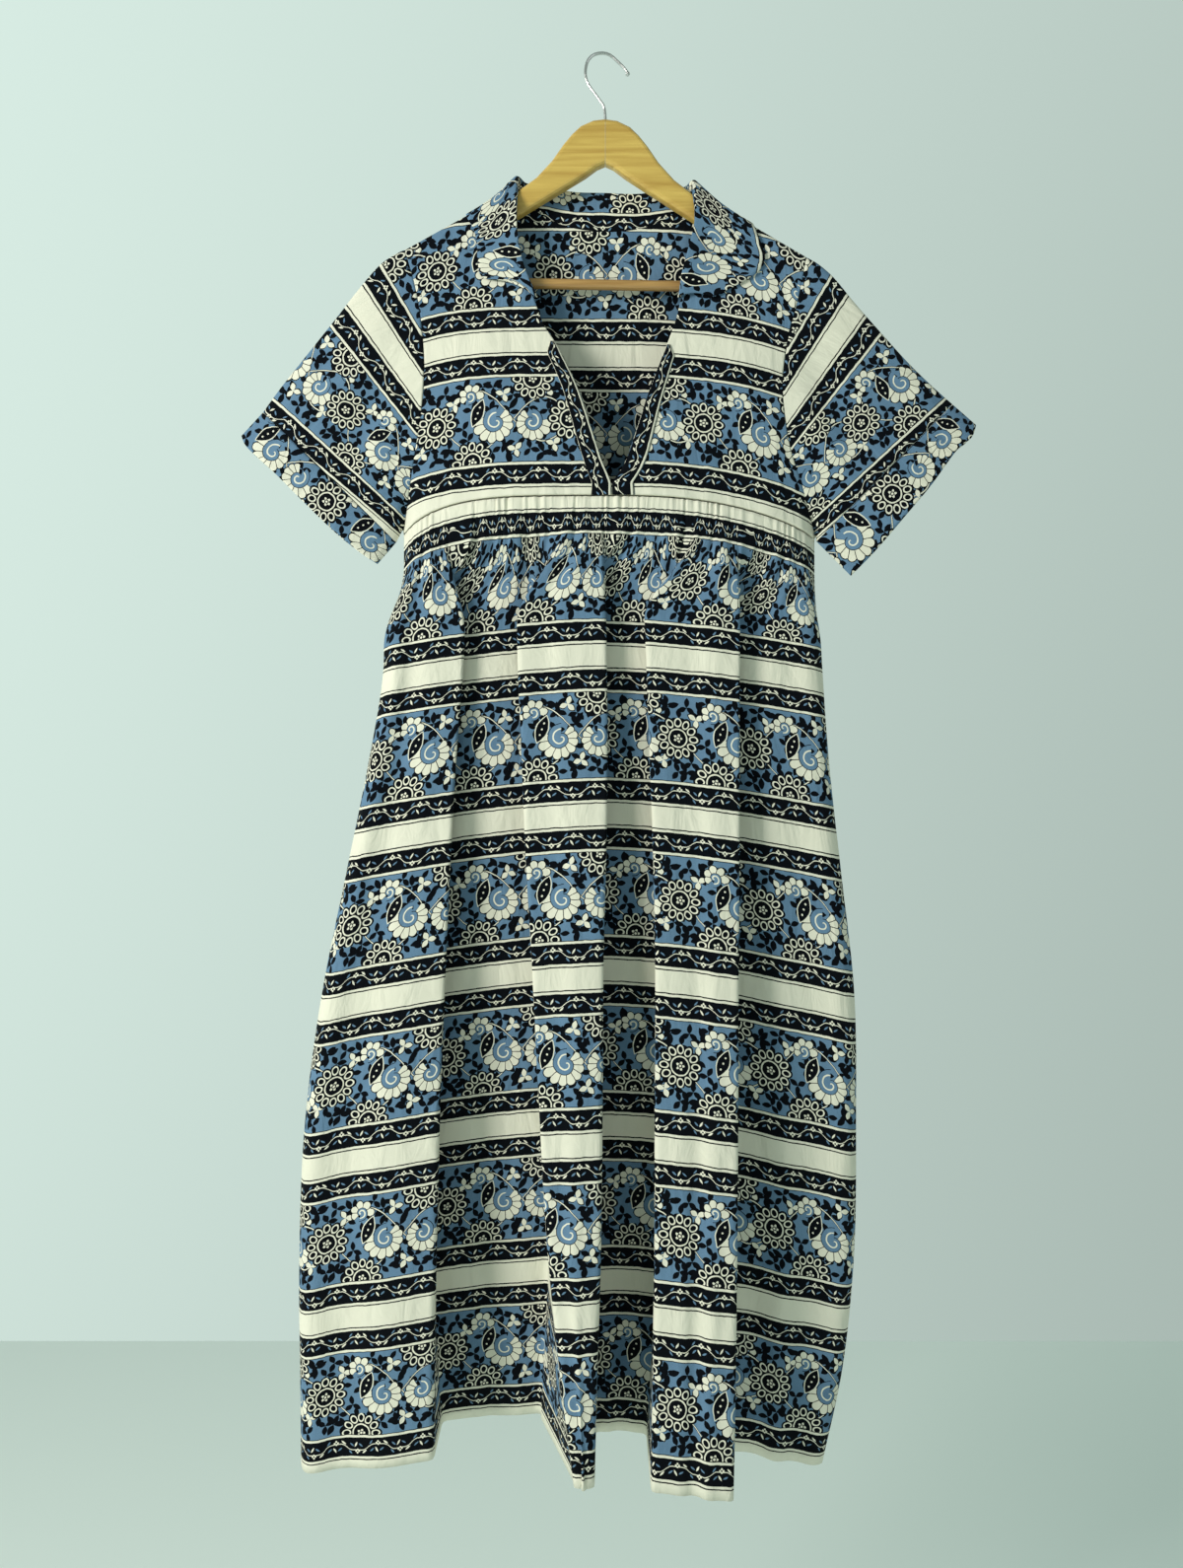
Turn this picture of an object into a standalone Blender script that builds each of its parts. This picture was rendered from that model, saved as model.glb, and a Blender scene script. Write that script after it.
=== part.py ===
"""A gathered midi dress of block-printed cotton, hanging on its wooden hanger.

Sizes are in millimetres and are turned to metres when a mesh is made. X runs to the right as seen
from the front, the front faces -Y and Z is up. The origin is the point inside the hook where a rail
carries the hanger.
"""
import math
from collections import namedtuple

import bmesh
import bpy
import numpy as np

MM = 0.001
WALL = 1.2                 # thickness of every piece of cloth
SEAM_GAP = 0.6             # between two sewn pieces, measured down the cloth
HALF_GAP = 0.2             # half the gap at a side or shoulder seam
CUFF_GAP = 0.8
ARMHOLE_GAP = 0.7
LAY_GAP = 0.35             # between a panel and what lies on it

# Hanger
HANGER_ROLL = math.radians(1.0)
ARM_HALF_THICKNESS = 7.0
ARM_EDGE_ROUND = 4.2
ARM_JOINT_GAP = 0.3
BAR_RADIUS = 5.25
BAR_HEIGHT = -233.0
BAR_END = 183.7
WIRE_RADIUS = 1.65
HOOK_TIP_SCALE = 1.5

# Dress
CENTRE = 6.0               # the V slit and the middle of the front lie a little to the right
SIDE_LEFT = -205.0
SIDE_RIGHT = 213.0
SIDE_DEPTH = 5.0           # Y of both side seams at the waist
NECK_X = 90.0              # where the shoulder seams meet the collar
SHOULDER_LIFT = 4.0        # cloth above the wood along the shoulder
WAIST = -455.0             # height of the waist seam at the centre
WAIST_DROP_LEFT = 31.0
WAIST_DROP_RIGHT = 36.0
SKIRT_DROP = 936.0         # waist seam to hem at the centre
FRONT_GATHERS = 52
BACK_GATHERS = 44
GATHER_DEPTH = 1.7
GATHER_LENGTH = 0.085      # of the skirt's length

ArmEdge = namedtuple("ArmEdge", "x top")
ARM_TOP = (
    ArmEdge(0, -67), ArmEdge(12, -68.5), ArmEdge(25, -74.5), ArmEdge(34, -83), ArmEdge(43, -94),
    ArmEdge(54, -110), ArmEdge(70, -127.5), ArmEdge(88, -141), ArmEdge(148, -174.5),
    ArmEdge(194, -201),
)
SHOULDER_LINE = ARM_TOP + (ArmEdge(220, -215.5),)
ArmLow = namedtuple("ArmLow", "x low")
ARM_END = (
    ArmLow(200, -206), ArmLow(203, -211), ArmLow(205, -219), ArmLow(204.5, -229), ArmLow(201, -237),
    ArmLow(195, -241.5), ArmLow(189, -242),
)
ARM_LOW = (
    ArmLow(184, -241), ArmLow(184, -226), ArmLow(150, -204), ArmLow(88, -167), ArmLow(44, -139.5),
    ArmLow(20, -124.5), ArmLow(8, -115.5), ArmLow(0, -112),
)
Wire = namedtuple("Wire", "x z")
HOOK_ROUTE = (
    Wire(0, -66.6), Wire(-0.6, -58), Wire(-1.8, -51.5), Wire(-5, -47), Wire(-12, -37.5),
    Wire(-17.5, -29.5), Wire(-20, -22), Wire(-20.2, -15), Wire(-18.2, -6.5), Wire(-13.5, -0.8),
    Wire(-7, 1.7), Wire(0, 1.65), Wire(6, -0.8), Wire(10, -4.4), Wire(14.5, -8.6),
    Wire(18.5, -12.6), Wire(21.6, -16.6), Wire(23, -21),
)

Spot = namedtuple("Spot", "x z")
ARMHOLE_LEFT = (
    Spot(-203, -199), Spot(-192, -236), Spot(-185, -275), Spot(-182, -315), Spot(-183, -350),
    Spot(-188, -390), Spot(-196, -435), Spot(-205, -477),
)
ARMHOLE_RIGHT = (
    Spot(203, -206), Spot(194, -250), Spot(183, -292), Spot(177, -345), Spot(184, -400),
    Spot(199, -444), Spot(213, -482),
)
NECK_EDGE_LEFT = (
    Spot(-90, -139.5), Spot(-92, -165), Spot(-91, -192), Spot(-87, -213), Spot(-74, -246),
    Spot(-62, -279), Spot(-47, -304), Spot(-27, -347), Spot(-12, -393), Spot(-3, -420),
    Spot(6, -442),
)
NECK_EDGE_RIGHT = (
    Spot(90, -142.5), Spot(92, -165), Spot(91, -184), Spot(84, -213), Spot(77, -246),
    Spot(70, -276), Spot(60, -304), Spot(42, -353), Spot(26, -403), Spot(18, -424),
    Spot(6, -442),
)
BACK_NECK_DEPTH = 36.0
SLIT_END = 0.96            # share of the front edge that is open
FRONT_ROWS = (0, 0.006, 0.016, 0.035, 0.08, 0.15, 0.23, 0.32, 0.42, 0.52, 0.62, 0.72, 0.81, 0.89,
              SLIT_END, 1)
BACK_ROWS = (0, 0.006, 0.016, 0.035, 0.08, 0.16, 0.26, 0.36, 0.46, 0.56, 0.68, 0.80, 0.91, 1)
FRONT_COLUMNS = (0, 0.03, 0.07, 0.13, 0.22, 0.34, 0.46, 0.58, 0.70, 0.82, 0.91, 1)
BACK_SHOULDER_COLUMNS = (0, 0.04, 0.10, 0.20, 0.35, 0.55, 0.78, 1)
BACK_NECK_COLUMNS = (0.005, 0.014, 0.03, 0.06, 0.12, 0.26, 0.42, 0.58, 0.74, 0.88, 0.94, 0.97,
                     0.986, 0.995)
SHOULDER_SHARE = 0.28      # of the back's width at the shoulder seams, in columns

# The neck facings are the vine-printed bands along the slit.
FACING_START = 0.50
FACING_ROWS = 9
Band = namedtuple("Band", "top bottom")
FACING_WIDTH_LEFT = Band(13, 20)
FACING_WIDTH_RIGHT = Band(11, 22)

# Sleeves: the top fold and the underarm edge run from the armhole to the cuff strip's seam.
SLEEVE_TOP_LEFT = (
    Spot(-204, -198.5), Spot(-213, -203), Spot(-229, -214), Spot(-250, -238), Spot(-272, -266),
    Spot(-300, -301), Spot(-328, -336), Spot(-347, -362),
)
SLEEVE_TOP_RIGHT = (
    Spot(204, -206), Spot(216, -213), Spot(232, -227), Spot(252, -251), Spot(276, -278),
    Spot(308, -313), Spot(335, -339), Spot(352, -354),
)
UNDERARM_LEFT = (Spot(-206.5, -481), Spot(-212, -494))
UNDERARM_RIGHT = (Spot(214.5, -486), Spot(214, -493))
CUFF_EDGE_LEFT = (
    Spot(-369, -386), Spot(-361, -400), Spot(-336, -423), Spot(-304, -455), Spot(-277, -481),
    Spot(-250, -503), Spot(-231, -516),
)
CUFF_EDGE_RIGHT = (
    Spot(376, -375), Spot(369, -390), Spot(353, -404), Spot(327, -439), Spot(300, -471),
    Spot(273, -503), Spot(249, -528),
)
SLEEVE_HALF_DEPTH = 15.0
SLEEVE_RING = 32
SLEEVE_STEPS = (0, 0.1, 0.25, 0.45, 0.7, 1)
CUFF_STEPS = (0, 0.5, 1)

# Collar: each station gives the neck seam, the roll line and the outer edge. A drop is measured
# down from the shoulder seam, negative on the front, and turn is the way the roll faces, in
# degrees: -90 to the front, 0 to the side and 90 to the back.
Station = namedtuple("Station", "neck_x neck_drop roll_x roll_y roll_z edge_x edge_drop turn")
FRONT, BACK = -1, 1
COLLAR = (
    Station(-70, -116, -71, -19, -252, -101, -93, -90),
    Station(-75.5, -103, -75, -19, -239, -123, -77, -90),
    Station(-84.5, -81, -83, -19, -216, -128, -60, -90),
    Station(-91, -55, -88, -19, -189, -129, -42, -90),
    Station(-92, -28, -89, -17, -158, -132, -24, -70),
    Station(-89, 0, -90, 0, -123, -141, 0, 0),
    Station(-82, 13, -82, 13, -124, -122, 26, 60),
    Station(-62, 28, -61, 15, -127, -84, 46, 90),
    Station(-33, 37, -32, 16, -132, -44, 55, 90),
    Station(0, 40, 0, 16, -133, 0, 58, 90),
    Station(33, 37, 32, 16, -134, 44, 55, 90),
    Station(62, 28, 61, 15, -131, 84, 46, 90),
    Station(82, 13, 82, 13, -128, 124, 26, 60),
    Station(89, 0, 90, 0, -127, 147, 0, 0),
    Station(92, -26, 89, -17, -159, 157, -20, -70),
    Station(91, -46, 88.5, -19, -180, 160, -30, -90),
    Station(86, -68, 83, -19, -203, 155, -46, -90),
    Station(79, -93, 76, -19, -230, 140, -66, -90),
    Station(74, -113, 73, -19, -252, 108, -102, -90),
)
COLLAR_CREASE = 2.2
COLLAR_SEAM_GAP = 1.9
COLLAR_LIFT = 3.2
COLLAR_FALL_LIFT = 4.6
COLLAR_STEPS = (0, 0.5)
COLLAR_STEPS_OFF_SHOULDER = (0, 0.12, 0.3, 0.6)

# Skirt: the knife folds' edges, the depth of each panel between them and how far each layer runs
# on behind the one before it, at levels from the waist (0) to the hem (1).
Edges = namedtuple("Edges", "level left ab bc cd de ef right")
Depths = namedtuple("Depths", "level left a b c d e f right")
Laps = namedtuple("Laps", "level ab bc cd de ef")
FRONT_EDGES = (
    Edges(0.00, -205, -141, -86, -2, 37, 131, 213),
    Edges(0.07, -222, -141, -86, -2, 38, 131, 216),
    Edges(0.16, -225, -143, -85, -1, 41, 130, 220),
    Edges(0.26, -241, -150, -81, 0, 44, 129, 227),
    Edges(0.36, -261, -155, -77, -1, 47, 128, 238),
    Edges(0.48, -285, -160, -70, -4, 49, 126, 251),
    Edges(0.62, -303, -165, -63, -5, 48, 124, 253),
    Edges(0.78, -309, -168, -55, -6, 46, 122, 250),
    Edges(0.90, -308, -169, -43, -9, 43, 120, 238),
    Edges(1.00, -307, -169, -31, -11, 41, 118, 219),
)
FRONT_DEPTHS = (
    Depths(0.00, 5, -20, -22, -36, -34, -32, -18, 5),
    Depths(0.07, 6, -24, -9, -39, -24, -39, -20, 5),
    Depths(0.16, 7, -26, -10, -43, -24, -42, -21, 5),
    Depths(0.26, 8, -28, -8, -48, -24, -48, -22, 5),
    Depths(0.36, 9, -31, -5, -55, -24, -56, -23, 5),
    Depths(0.48, 11, -34, 0, -65, -23, -66, -24, 4),
    Depths(0.62, 13, -36, 8, -78, -20, -80, -25, 3),
    Depths(0.78, 15, -38, 18, -93, -16, -95, -25, 2),
    Depths(0.90, 16, -39, 26, -103, -12, -106, -25, 1),
    Depths(1.00, 17, -40, 34, -110, -9, -113, -23, 0),
)
FRONT_LAPS = (
    Laps(0.00, 0, 0, 0, 0, 0),
    Laps(0.07, 44, 30, 30, 32, 32),
    Laps(0.16, 58, 36, 36, 38, 38),
    Laps(0.26, 56, 35, 34, 36, 36),
    Laps(0.36, 49, 33, 31, 33, 33),
    Laps(0.48, 39, 28, 27, 28, 28),
    Laps(0.62, 27, 18, 20, 21, 21),
    Laps(0.78, 14, 0, 12, 12, 12),
    Laps(0.90, 6, -18, 5, 5, 5),
    Laps(1.00, 0, -35, 0, 0, 0),
)
BACK_EDGES = (
    Edges(0.00, -205, -128, -72, 0, 50, 128, 213),
    Edges(0.16, -225, -130, -75, 0, 52, 133, 220),
    Edges(0.36, -261, -142, -82, 2, 54, 142, 238),
    Edges(0.62, -303, -158, -92, 5, 58, 150, 253),
    Edges(1.00, -307, -168, -100, 8, 62, 150, 219),
)
BACK_DEPTHS = (
    Depths(0.00, -5, -16, -22, -24, -24, -22, -14, -5),
    Depths(0.07, -6, -28, -14, -32, -17, -31, -15, -5),
    Depths(0.16, -7, -33, -17, -38, -21, -37, -17, -5),
    Depths(0.36, -9, -44, -24, -51, -29, -50, -22, -5),
    Depths(0.62, -13, -62, -36, -72, -42, -69, -29, -3),
    Depths(1.00, -17, -84, -52, -96, -56, -92, -34, 0),
)
BACK_LAPS = (
    Laps(0.00, 0, 0, 0, 0, 0),
    Laps(0.07, 44, 26, 26, 30, 30),
    Laps(0.16, 56, 31, 31, 36, 36),
    Laps(0.36, 50, 33, 33, 36, 36),
    Laps(0.62, 38, 30, 30, 32, 32),
    Laps(1.00, 22, 20, 20, 22, 22),
)
Crease = namedtuple("Crease", "level reach gap")
CREASES = (Crease(0.0, 7, 6), Crease(0.5, 8, 6.5), Crease(0.8, 11, 9), Crease(1.0, 13, 12))
CREASE_NOSE = 2.0
FULL_TUCK = 20.0           # a lap this long or longer folds right back
SIDE_TURN = 14.0
# Soft waves on each panel between the knife folds: share of the way across, and depth at the hem.
Wave = namedtuple("Wave", "share depth")
PANEL_WAVES = {
    "a": (Wave(0.30, 7), Wave(0.66, -5)),
    "b": (Wave(0.35, 4), Wave(0.70, -3)),
    "c": (Wave(0.50, -3),),
    "d": (Wave(0.50, 4),),
    "e": (Wave(0.28, -4), Wave(0.52, 5), Wave(0.76, -4)),
    "f": (Wave(0.25, 5), Wave(0.50, -6), Wave(0.78, 3)),
}
Droop = namedtuple("Droop", "level sides")
SKIRT_DROOP = (Droop(0.0, 30), Droop(0.17, 25), Droop(0.5, 40), Droop(0.8, 40), Droop(1.0, 30))
GATHER_LEVELS = (0, 0.010, 0.024, 0.042)
FOLD_LEVELS = (0.062, 0.085, 0.115, 0.16, 0.24, 0.33, 0.43, 0.54, 0.66, 0.78, 0.89, 1)


def material(name, colour, roughness, metallic=0.0):
    """A plain Principled material."""
    made = bpy.data.materials.new(name)
    made.use_nodes = True
    shader = made.node_tree.nodes["Principled BSDF"]
    shader.inputs["Base Color"].default_value = (*colour, 1)
    shader.inputs["Roughness"].default_value = roughness
    shader.inputs["Metallic"].default_value = metallic
    made.diffuse_color = (*colour, 1)
    return made


def add_object(name, data, look):
    """Put a mesh or curve into the scene under its node's name."""
    data.materials.append(look)
    item = bpy.data.objects.new(name, data)
    bpy.context.scene.collection.objects.link(item)
    return item


def add_mesh(name, points, faces, look):
    """A mesh object from points in millimetres."""
    mesh = bpy.data.meshes.new(name)
    mesh.from_pydata([tuple(float(c) * MM for c in point) for point in points], [], faces)
    mesh.update()
    mesh.shade_smooth()
    mesh.set_sharp_from_angle(angle=math.radians(50))
    return add_object(name, mesh, look)


def ramp(value):
    """0 below 0, 1 above 1 and smooth between."""
    share = min(max(value, 0.0), 1.0)
    return share * share * (3 - 2 * share)


def at_level(table, level):
    """The row of a table at any level, on smooth curves through its rows."""
    rows = np.array(table, dtype=float)
    levels = rows[:, 0]
    index = int(np.clip(np.searchsorted(levels, level, side="right") - 1, 0, len(levels) - 2))
    slopes = np.gradient(rows, levels, axis=0)
    span = levels[index + 1] - levels[index]
    s = (level - levels[index]) / span
    row = ((1 + 2 * s) * (1 - s) ** 2 * rows[index] + s * s * (3 - 2 * s) * rows[index + 1]
           + span * (s * (1 - s) ** 2 * slopes[index] - s * s * (1 - s) * slopes[index + 1]))
    return type(table[0])(*row)


def path_through(points):
    """A function of the share of its length along a smooth curve through the points."""
    knots = np.array(points, dtype=float)
    padded = np.vstack([2 * knots[0] - knots[1], knots, 2 * knots[-1] - knots[-2]])
    dense = []
    for k in range(1, len(padded) - 2):
        before, start, end, after = padded[k - 1:k + 3]
        for s in np.linspace(0, 1, 12, endpoint=False):
            dense.append(0.5 * (2 * start + (end - before) * s
                                + (2 * before - 5 * start + 4 * end - after) * s ** 2
                                + (3 * start - before - 3 * end + after) * s ** 3))
    dense.append(knots[-1])
    dense = np.array(dense)
    lengths = np.concatenate([[0], np.cumsum(np.linalg.norm(np.diff(dense, axis=0), axis=1))])
    lengths /= lengths[-1]

    def at(share):
        return np.array([np.interp(share, lengths, dense[:, axis])
                         for axis in range(dense.shape[1])])
    return at


def rounded(controls, places):
    """Points of the smooth curve that the control polygon pulls, by control number."""
    controls = np.array(controls, dtype=float)
    last = len(controls) - 1
    middles = (controls[:-1] + controls[1:]) / 2
    found = []
    for place in places:
        if place <= 0.5:
            found.append(controls[0] + (middles[0] - controls[0]) * max(place, 0) * 2)
        elif place >= last - 0.5:
            found.append(controls[-1] + (middles[-1] - controls[-1]) * max(last - place, 0) * 2)
        else:
            k = int(math.floor(place + 0.5))
            s = place + 0.5 - k
            found.append((1 - s) ** 2 * middles[k - 1] + 2 * s * (1 - s) * controls[k]
                         + s * s * middles[k])
    return np.array(found)


def grid_faces(rows, columns, start=0, closed=False):
    """Four-sided faces of a grid of points, facing -Y when rows go down and columns to +X."""
    faces = []
    for r in range(rows - 1):
        for c in range(columns if closed else columns - 1):
            n = (c + 1) % columns
            a = start + r * columns
            b = a + columns
            faces.append((a + c, b + c, b + n, a + n))
    return faces


def zip_rows(upper, upper_places, lower, lower_places):
    """Triangles between two rows whose points lie at different places along the cloth."""
    faces = []
    i = 0
    j = 0
    while i < len(upper) - 1 or j < len(lower) - 1:
        next_upper = upper_places[i + 1] if i < len(upper) - 1 else math.inf
        next_lower = lower_places[j + 1] if j < len(lower) - 1 else math.inf
        if next_upper < next_lower:
            faces.append((upper[i], lower[j], upper[i + 1]))
            i += 1
        else:
            faces.append((upper[i], lower[j], lower[j + 1]))
            j += 1
    return faces


def surface_normals(points, faces):
    """Outward normals of an open surface at its points."""
    normals = np.zeros_like(points)
    for face in faces:
        corners = points[list(face)]
        normal = np.zeros(3)
        for k in range(1, len(face) - 1):
            normal += np.cross(corners[k] - corners[0], corners[k + 1] - corners[0])
        for v in face:
            normals[v] += normal
    lengths = np.linalg.norm(normals, axis=1)
    lengths[lengths == 0] = 1
    return normals / lengths[:, None]


def cloth(name, points, faces, look, edge_normals=None):
    """A wall of cloth: the outer surface, the inner one behind it and the rims between."""
    points = np.array(points, dtype=float)
    normals = surface_normals(points, faces)
    for index, normal in (edge_normals or {}).items():
        normals[index] = np.array(normal) / np.linalg.norm(normal)
    count = len(points)
    solid = [tuple(face) for face in faces]
    solid += [tuple(count + v for v in reversed(face)) for face in faces]
    edges = {(face[k - 1], face[k]) for face in faces for k in range(len(face))}
    for a, b in sorted(edges):
        if (b, a) not in edges:
            solid.append((b, a, count + a, count + b))
    return add_mesh(name, np.vstack([points, points - normals * WALL]), solid, look)


def rolled(x, z):
    """A point of the wooden arm, which hangs a little lower on the right."""
    return x, z - x * math.sin(HANGER_ROLL)


def shoulder_height(x):
    """Height of the shoulder seam above the wood. It is level inside the neck."""
    reach = max(abs(x), NECK_X)
    top = np.interp(reach, [edge.x for edge in SHOULDER_LINE], [edge.top for edge in SHOULDER_LINE])
    return rolled(math.copysign(reach, x), top)[1] + SHOULDER_LIFT


def side_blend(x, z):
    """1 on the side seams at the waist, falling to 0 over a few centimetres."""
    limit = SIDE_RIGHT if x > 0 else -SIDE_LEFT
    return math.exp(-max(limit - abs(x), 0) / 9) * ramp((-z - 400) / 70)


def panel_depth(face, x, z):
    """Y of the bodice's outer surface on its front or back."""
    drop = max(shoulder_height(x) - z, 0)
    over = 10 * (1 - math.exp(-drop / 2.2))
    width = 1 - min(abs(x) / 216, 1) ** 2.5
    if face == FRONT:
        depth = -over - 27 * ramp((-z - 170) / 280) * width
    else:
        depth = over + 15 * ramp((-z - 150) / 200) * width
    blend = side_blend(x, z)
    return depth * (1 - blend) + SIDE_DEPTH * blend


def on_panel(x, drop, lift):
    """A point off the bodice by lift, below the shoulder seam by drop: negative on the front."""
    face = BACK if drop > 0 else FRONT
    z = shoulder_height(x) - abs(drop)
    up = math.exp(-abs(drop) / 2.2)
    out = math.sqrt(1 - up * up)
    return np.array([x, panel_depth(face, x, z) + face * lift * out, z + lift * up])


def on_shoulder(spots):
    """The same spots with the first one raised to the shoulder seam."""
    return (Spot(spots[0].x, shoulder_height(spots[0].x)),) + tuple(spots[1:])


def waist_height(x):
    """The waist seam droops towards the sides, sooner on the right."""
    if x < 0:
        return WAIST - WAIST_DROP_LEFT * (x / SIDE_LEFT) ** 5
    return WAIST - WAIST_DROP_RIGHT * (x / SIDE_RIGHT) ** 2.6


def armhole(side):
    """The armhole from the shoulder tip to the underarm, by share of its length."""
    return path_through(on_shoulder(ARMHOLE_LEFT if side < 0 else ARMHOLE_RIGHT))


def body_edge(side):
    """Armhole and short side seam together, down to the waist seam."""
    spots = on_shoulder(ARMHOLE_LEFT if side < 0 else ARMHOLE_RIGHT)
    x = SIDE_LEFT if side < 0 else SIDE_RIGHT
    return path_through(spots + (Spot(x, waist_height(x) + SEAM_GAP),))


def slit_edge(side):
    """The neck edge down to the slit's end, and on to the waist seam."""
    curve = path_through(on_shoulder(NECK_EDGE_LEFT if side < 0 else NECK_EDGE_RIGHT))
    end = curve(1)
    waist = np.array([CENTRE, waist_height(CENTRE) + SEAM_GAP])

    def at(share):
        if share <= SLIT_END:
            return curve(share / SLIT_END)
        return end + (waist - end) * (share - SLIT_END) / (1 - SLIT_END)
    return at


def patch(top, bottom, left, right):
    """A surface between four edge curves, each a function of its share from 0 to 1."""
    def at(u, v):
        corners = ((1 - u) * (1 - v) * top(0) + u * (1 - v) * top(1)
                   + (1 - u) * v * bottom(0) + u * v * bottom(1))
        return (1 - v) * top(u) + v * bottom(u) + (1 - u) * left(v) + u * right(v) - corners
    return at


def front_half(side):
    """One half of the bodice front, from its outer edge (u = 0) to the slit (u = 1)."""
    outer = body_edge(side)
    slit = slit_edge(side)

    def top(u):
        x = outer(0)[0] + (slit(0)[0] - outer(0)[0]) * u
        return np.array([x, shoulder_height(x)])

    def bottom(u):
        x = outer(1)[0] + (CENTRE - outer(1)[0]) * u
        return np.array([x, waist_height(x) + SEAM_GAP])

    return patch(top, bottom, outer, slit)


def armhole_normal(face, side, share):
    """Normal along the armhole's edge: up at the shoulder, outwards below, sideways at the end."""
    turn = math.pi * share
    return (side * 4 * max(-math.cos(turn), 0) ** 8, face * (0.02 + math.sin(turn)),
            max(math.cos(turn), 0) ** 40 * 6)


def bodice_front(look):
    """Both halves of the front, one piece below the slit."""
    points = []
    normals = {}
    faces = []
    index_of = {}
    for side in (-1, 1):
        surface = front_half(side)
        columns = FRONT_COLUMNS if side < 0 else FRONT_COLUMNS[::-1]
        numbers = []
        for v in FRONT_ROWS:
            for u in columns:
                x, z = surface(u, v)
                y = panel_depth(FRONT, x, z)
                if v == 0 or (u == 0 and z < armhole(side)(1)[1]):
                    y -= HALF_GAP
                key = (round(x, 4), round(z, 4))
                if key not in index_of:
                    index_of[key] = len(points)
                    points.append((x, y, z))
                number = index_of[key]
                numbers.append(number)
                if v == 0:
                    normals[number] = (0, 0, 1)
                elif u == 0:
                    normals[number] = armhole_normal(FRONT, side, v)
        grid = grid_faces(len(FRONT_ROWS), len(columns))
        faces += [tuple(numbers[k] for k in face) for face in grid]
    return cloth("bodice_front", points, faces, look, normals)


def back_neck_height(x):
    """The back neck's curve."""
    sides = (shoulder_height(-NECK_X), shoulder_height(NECK_X))
    level = np.interp(x, (-NECK_X, NECK_X), sides)
    return level - BACK_NECK_DEPTH * (1 - min(abs(x) / NECK_X, 1) ** 2.6)


def bodice_back(look):
    """The back in one piece, with the neck's curve between the shoulder seams."""
    left = body_edge(-1)
    right = body_edge(1)
    share = SHOULDER_SHARE
    shoulder = [u * share for u in BACK_SHOULDER_COLUMNS]
    neck = [share + (1 - 2 * share) * u for u in BACK_NECK_COLUMNS]
    columns = shoulder + neck + [1 - u for u in reversed(shoulder)]

    def top(u):
        if u < share:
            x = left(0)[0] + (-NECK_X - left(0)[0]) * u / share
        elif u > 1 - share:
            x = right(0)[0] + (NECK_X - right(0)[0]) * (1 - u) / share
        else:
            x = -NECK_X + 2 * NECK_X * (u - share) / (1 - 2 * share)
        height = back_neck_height(x) if abs(x) < NECK_X else shoulder_height(x)
        return np.array([x, height])

    def bottom(u):
        x = left(1)[0] + (right(1)[0] - left(1)[0]) * u
        return np.array([x, waist_height(x) + SEAM_GAP])

    surface = patch(top, bottom, left, right)
    points = []
    normals = {}
    for v in BACK_ROWS:
        for u in reversed(columns):
            x, z = surface(u, v)
            side = 1 if u > 0.5 else -1
            y = panel_depth(BACK, x, z)
            on_edge = u in (0, 1)
            on_shoulder = v == 0 and abs(x) >= NECK_X - 0.01
            if on_shoulder or (on_edge and z < armhole(side)(1)[1]):
                y += HALF_GAP
            if on_shoulder:
                normals[len(points)] = (0, 0, 1)
            elif on_edge:
                normals[len(points)] = armhole_normal(BACK, side, v)
            points.append((x, y, z))
    faces = grid_faces(len(BACK_ROWS), len(columns))
    return cloth("bodice_back", points, faces, look, normals)


def facing(side, look):
    """A band along the slit, lying on the front panel."""
    slit = slit_edge(side)
    width = FACING_WIDTH_LEFT if side < 0 else FACING_WIDTH_RIGHT
    points = []
    for v in np.linspace(FACING_START, 1, FACING_ROWS):
        x, z = slit(v)
        share = (v - FACING_START) / (1 - FACING_START)
        reach = width.top + (width.bottom - width.top) * share
        offsets = (reach, reach / 2, 0) if side < 0 else (0, reach / 2, reach)
        for offset in offsets:
            place = x + side * (offset + HALF_GAP * 2)
            points.append(on_panel(place, z - shoulder_height(place), WALL + LAY_GAP))
    name = "neck_facing_left" if side < 0 else "neck_facing_right"
    return cloth(name, points, grid_faces(FACING_ROWS, 3), look)


def sleeve_surface(side, start, end, start_depths, end_depths, top, under):
    """Points of a flattened tube between two slanted edges, by share along and angle round."""
    outline = patch(start, end, top, under)

    def at(share, turn):
        down = (1 - math.cos(turn)) / 2
        x, z = outline(down, share)
        face = FRONT if turn < math.pi else BACK
        depth = ((1 - share) * start_depths(face, down) + share * end_depths(face, down))
        return np.array([x, depth, z])
    return at


def flat_depth(face, down):
    """Half the thickness of a hanging sleeve from its top fold (0) to its lower edge (1)."""
    return face * SLEEVE_HALF_DEPTH * (max(4 * down * (1 - down), 0)) ** 0.6


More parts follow.
